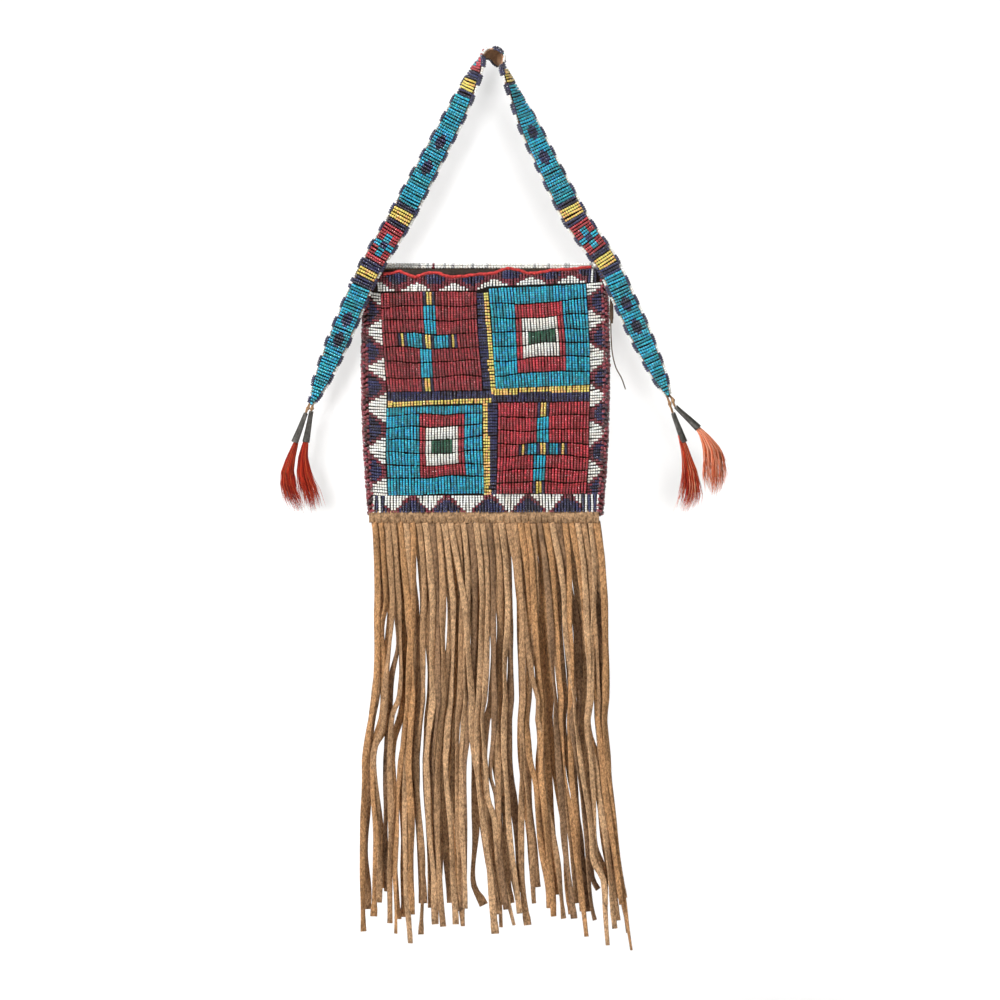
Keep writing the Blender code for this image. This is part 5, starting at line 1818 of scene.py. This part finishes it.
def make_cone(name, turn, top):
    """A tin cone rolled from sheet: its edges overlap in a seam, and it is a little dented."""
    sides = 40
    steps = 14
    bm = bmesh.new()
    dents = rng.uniform(0.0, 6.283, 3)
    grids = []
    for wall in (0.0, CONE_WALL):
        grid = []
        for k in range(steps + 1):
            share = k / steps
            ring = []
            for j in range(sides + 5):
                angle = 2.0 * math.pi * j / sides + 0.6
                lap = max(0.0, (j - sides + 2) / 6.0)
                radius = cone_radius(share) - wall - 0.00028 * (1.0 - lap) * (1.0 if j < 4 else 0.0)
                radius += 0.00005 * math.sin(2.0 * angle + dents[0] + 3.0 * share)
                radius += 0.00004 * math.sin(5.0 * angle + dents[1] + 7.0 * share)
                drop = top + CONE_LENGTH * share + 0.00012 * math.sin(angle * 2.0 + dents[2]) * share
                place = Vector((radius * math.cos(angle), radius * math.sin(angle), -drop))
                ring.append(bm.verts.new(turn @ place))
            grid.append(ring)
        grids.append(grid)
    outer, inner = grids
    last = sides + 4
    for grid in grids:
        for k in range(steps):
            for j in range(last):
                bm.faces.new((grid[k][j], grid[k][j + 1], grid[k + 1][j + 1], grid[k + 1][j]))
    for k in (0, steps):
        for j in range(last):
            bm.faces.new((outer[k][j], outer[k][j + 1], inner[k][j + 1], inner[k][j]))
    for j in (0, last):
        for k in range(steps):
            bm.faces.new((outer[k][j], outer[k + 1][j], inner[k + 1][j], inner[k][j]))
    for face in bm.faces:
        face.smooth = True
    return object_of(name, bm, [TIN])


def make_pendant_thong(name, turn, top, shift):
    """A narrow thong out of the tab's tip, with a knot above the cone."""
    lead = 0.0024
    end = top + 0.0058
    path = []
    radii = []
    count = 34
    for k in range(count + 1):
        share = k / count
        drop = -lead + (end + lead) * share
        down = min(1.0, max(0.0, drop / top))
        bend = 0.00016 * math.sin(9.0 * share) + shift * down * down * (3.0 - 2.0 * down)
        path.append(turn @ Vector((bend, 0.0001 * math.cos(7.0 * share), -drop)))
        knot = math.exp(-((drop - top * 0.35) / 0.0010) ** 2)
        inside = drop > top - 0.0004
        radii.append(0.00056 if inside else 0.00074 + 0.00060 * knot)
    return round_tube(name, path, radii, 10, HIDE_TAN, 0.10)


# Each tuft's middle and half width down the photograph, and where its strands end
TUFT_SHAPES = {
    "left_outer_pendant": (
        (445, 295.0, 2.9), (452, 292.6, 3.9), (459, 290.4, 4.9), (472, 287.4, 6.4), (485, 288.6, 7.6),
        (496, 292.0, 7.9), (512, 298.5, 7.6),
    ),
    "left_inner_pendant": (
        (443, 305.4, 3.0), (450, 304.0, 3.9), (457, 303.1, 4.8), (472, 304.0, 6.8), (482, 306.4, 7.6),
        (490, 309.4, 8.2), (511, 313.5, 8.0),
    ),
    "right_inner_pendant": (
        (442, 682.4, 3.3), (449, 684.6, 4.0), (456, 686.3, 4.8), (471, 689.6, 7.2), (485, 690.6, 9.8),
        (496, 690.0, 12.0), (512, 685.5, 10.5),
    ),
    "right_outer_pendant": (
        (427, 696.9, 2.8), (435, 704.0, 5.0), (443, 709.0, 7.4), (450, 712.4, 9.4), (460, 714.0, 10.8),
        (475, 714.4, 11.8), (487, 714.6, 9.4), (495, 713.4, 6.6),
    ),
}
# Sideways run of each cone for its drop, and how pale its hair is
CONE_LEANS = {
    "left_outer_pendant": (-0.323, 0.0),
    "left_inner_pendant": (-0.166, 0.0),
    "right_inner_pendant": (0.337, 0.25),
    "right_outer_pendant": (1.036, 0.90),
}
TUFT_STRANDS = 320
HAIR_STEPS = 16
HAIR_SIDES = 3


def make_tuft(name, seed):
    """Strands of dyed horsehair gathered in the cone, swelling, curving and parting below it."""
    hair = np.random.default_rng(seed)
    levels, middles, halves = (np.array(column, dtype=float) for column in zip(*TUFT_SHAPES[name]))
    first_level, drop = levels[0], levels[-1] - levels[0]
    slope, pale = CONE_LEANS[name]
    above = 7.0 / math.hypot(1.0, slope)
    sides = HAIR_SIDES
    verts = []
    faces = []
    slots = []
    for _ in range(TUFT_STRANDS):
        angle = hair.uniform(0.0, 2.0 * math.pi)
        reach = math.sqrt(hair.uniform(0.0, 1.0))
        stray = 0.9 * hair.random() if hair.random() < 0.16 else 0.0
        ragged = 0.52 + 0.48 * hair.random() ** 0.6
        edge_short = 1.0 - 0.10 * abs(math.cos(angle)) * reach
        end = first_level + drop * min(1.03, ragged * edge_short + 0.06 * hair.random())
        phases = hair.uniform(0.0, 6.283, 3)
        lock = 0.9 * math.cos(hair.integers(7) * 2.4)
        shade = int(hair.choice((0, 1, 1, 2, 2, 3, 4)))
        if hair.random() < pale:
            shade = int(hair.choice((3, 5, 6)))
        if hair.random() < 0.03:
            shade = len(HAIR)
        thick = hair.uniform(0.00011, 0.00020)
        base = len(verts)
        path = []
        for k in range(HAIR_STEPS + 1):
            y = first_level - above + (end - first_level + above) * (k / HAIR_STEPS)
            down = max(0.0, (y - first_level) / drop)
            if y > first_level:
                middle = float(np.interp(y, levels, middles))
                half = float(np.interp(y, levels, halves))
            else:
                middle = middles[0] + slope * (y - first_level)
                half = halves[0] * 0.82
            x = middle + half * (1.0 + stray * down ** 2) * reach * math.cos(angle)
            x += lock * 3.4 * max(0.0, down - 0.35)
            x += 0.7 * down * math.sin(5.0 * down + phases[0])
            x += 0.4 * down * math.sin(13.0 * down + phases[1])
            flat = 1.0 - 0.45 * min(1.0, down * 3.0)
            depth = half * PIXEL * flat * reach * math.sin(angle)
            depth += 0.0006 * down * math.sin(6.0 * down + phases[2])
            path.append(at(x, y, depth))
        for k, place in enumerate(path):
            along = heading(path, k)
            first = along.cross(Vector((0.0, 1.0, 0.0))).normalized()
            second = along.cross(first)
            radius = thick * (1.0 if k < HAIR_STEPS - 4 else 0.20 + 0.20 * (HAIR_STEPS - k))
            for j in range(sides):
                a = 2.0 * math.pi * j / sides
                verts.append(tuple(place + first * (radius * math.cos(a)) + second * (radius * math.sin(a))))
        for k in range(HAIR_STEPS):
            for j in range(sides):
                m = (j + 1) % sides
                low, high = base + k * sides, base + (k + 1) * sides
                faces.append((low + j, low + m, high + m))
                faces.append((low + j, high + m, high + j))
        last = base + HAIR_STEPS * sides
        faces.append((last, last + 1, last + 2))
        faces.append((base + 2, base + 1, base))
        slots += [shade] * (len(faces) - len(slots))
    return mesh_object(f"{name}_horsehair", verts, faces, HAIR + [HAIR_DARK], slots)


def make_pendants():
    for n, (arm, name, sign, tilt, thong_share, shift) in enumerate(PENDANTS):
        pivot = arm.tip + arm.tab_along * 0.0009 + arm.tab_across * (sign * PENDANT_PAIR_SPACING / 2.0)
        turn = Matrix.Translation(pivot) @ Matrix.Rotation(math.radians(-arm.side * tilt), 4, "Y")
        top = PENDANT_THONG * thong_share
        beside = turn @ Matrix.Translation((shift, 0.0, 0.0))
        settle(make_pendant_thong(f"{name}_hide_thong", turn, top, shift), name, "hide_tan", f"{name}_thong")
        settle(make_cone(f"{name}_tin_cone", beside, top), name, "tin", f"{name}_cone")
        settle(make_tuft(name, 40 + n), name, "hair_red", f"{name}_tuft")


make_pendants()


# Hide ties between the strap and the pouch's corners

TIE_HEIGHT = 0.0022
TIE_DEPTH = 0.00375
TIE_LOOP_DEPTH = 0.0022
TIE_THONG = 0.00072
TAIL_LENGTH = 0.0385
TAIL_HALF = 0.00115
TAIL_THICK = 0.0010


def tie_loop(name, middle, half, node):
    """Dark thong wound twice through the hide and over the corner."""
    path = []
    radii = []
    count = 56
    for k in range(count + 1):
        angle = 4.0 * math.pi * k / count
        x = middle - half + 2.0 * half * k / count
        y = TIE_DEPTH + TIE_LOOP_DEPTH * math.cos(angle)
        z = TIE_BOTTOM + TIE_HEIGHT / 2.0 * (1.0 + math.sin(angle))
        path.append(Vector((x, y, z)))
        radii.append(TIE_THONG * (1.0 + 0.12 * math.sin(k * 0.9)))
    settle(round_tube(name, path, radii, 8, HIDE_DARK, 0.08), "strap", "hide_dark", node)


def strap_x_at(arm, z):
    """Where the arm's centre line passes a height."""
    for before, after in zip(arm.points, arm.points[1:]):
        if after.z <= z <= before.z:
            share = (before.z - z) / (before.z - after.z)
            return before.x + (after.x - before.x) * share
    return arm.points[-1].x


def make_ties():
    """The two ties, and the flat end that hangs from the right one."""
    tie_loop("left_tie_thong", strap_x_at(LEFT_ARM, TIE_BOTTOM), 0.0021, "left_tie")
    tie_loop("right_tie_thong", POUCH_RIGHT_REACH - 0.0016, 0.0046, "right_tie")
    sections = []
    along = Vector((0.03, 0.0, -1.0)).normalized()
    count = 22
    for k in range(count + 1):
        share = k / count
        x = POUCH_RIGHT_REACH + 0.0011 + 0.0003 * math.sin(share * 5.0) + 0.0010 * share
        y = 0.0020 + 0.0002 * math.sin(share * 7.0)
        place = Vector((x, y, TIE_BOTTOM + TIE_HEIGHT / 2.0 - TAIL_LENGTH * share))
        wide = TAIL_HALF * (1.0 + 0.15 * math.sin(share * 8.0 + 1.0)) * (1.0 if share < 0.93 else 0.7)
        sections.append(strip_section(place, along, wide, 0.3 * math.sin(share * 4.0), TAIL_THICK))
    settle(closed_tube("right_tie_tail", sections, [HIDE_DARK]), "strap", "hide_dark")


make_ties()


def share_shadows():
    """Let each shadow lamp be stopped only by its own pieces: one arm's, or all that belong to neither."""
    groups = {part: bpy.data.collections.new(f"{part}_blockers") for part in shadow_lamps}
    unshared = ("floor", "backdrop", "strap_hide")
    for obj in bpy.data.objects:
        if obj.type not in ("MESH", "CURVE") or obj.name in unshared:
            continue
        side = obj.name.partition("_")[0]
        on_arm = any(word in obj.name for word in ("arm", "tab", "hinge", "pendant"))
        groups[side if on_arm and side in ("left", "right") else "other"].objects.link(obj)
    for part, lamp in shadow_lamps.items():
        lamp.light_linking.blocker_collection = groups[part]


share_shadows()
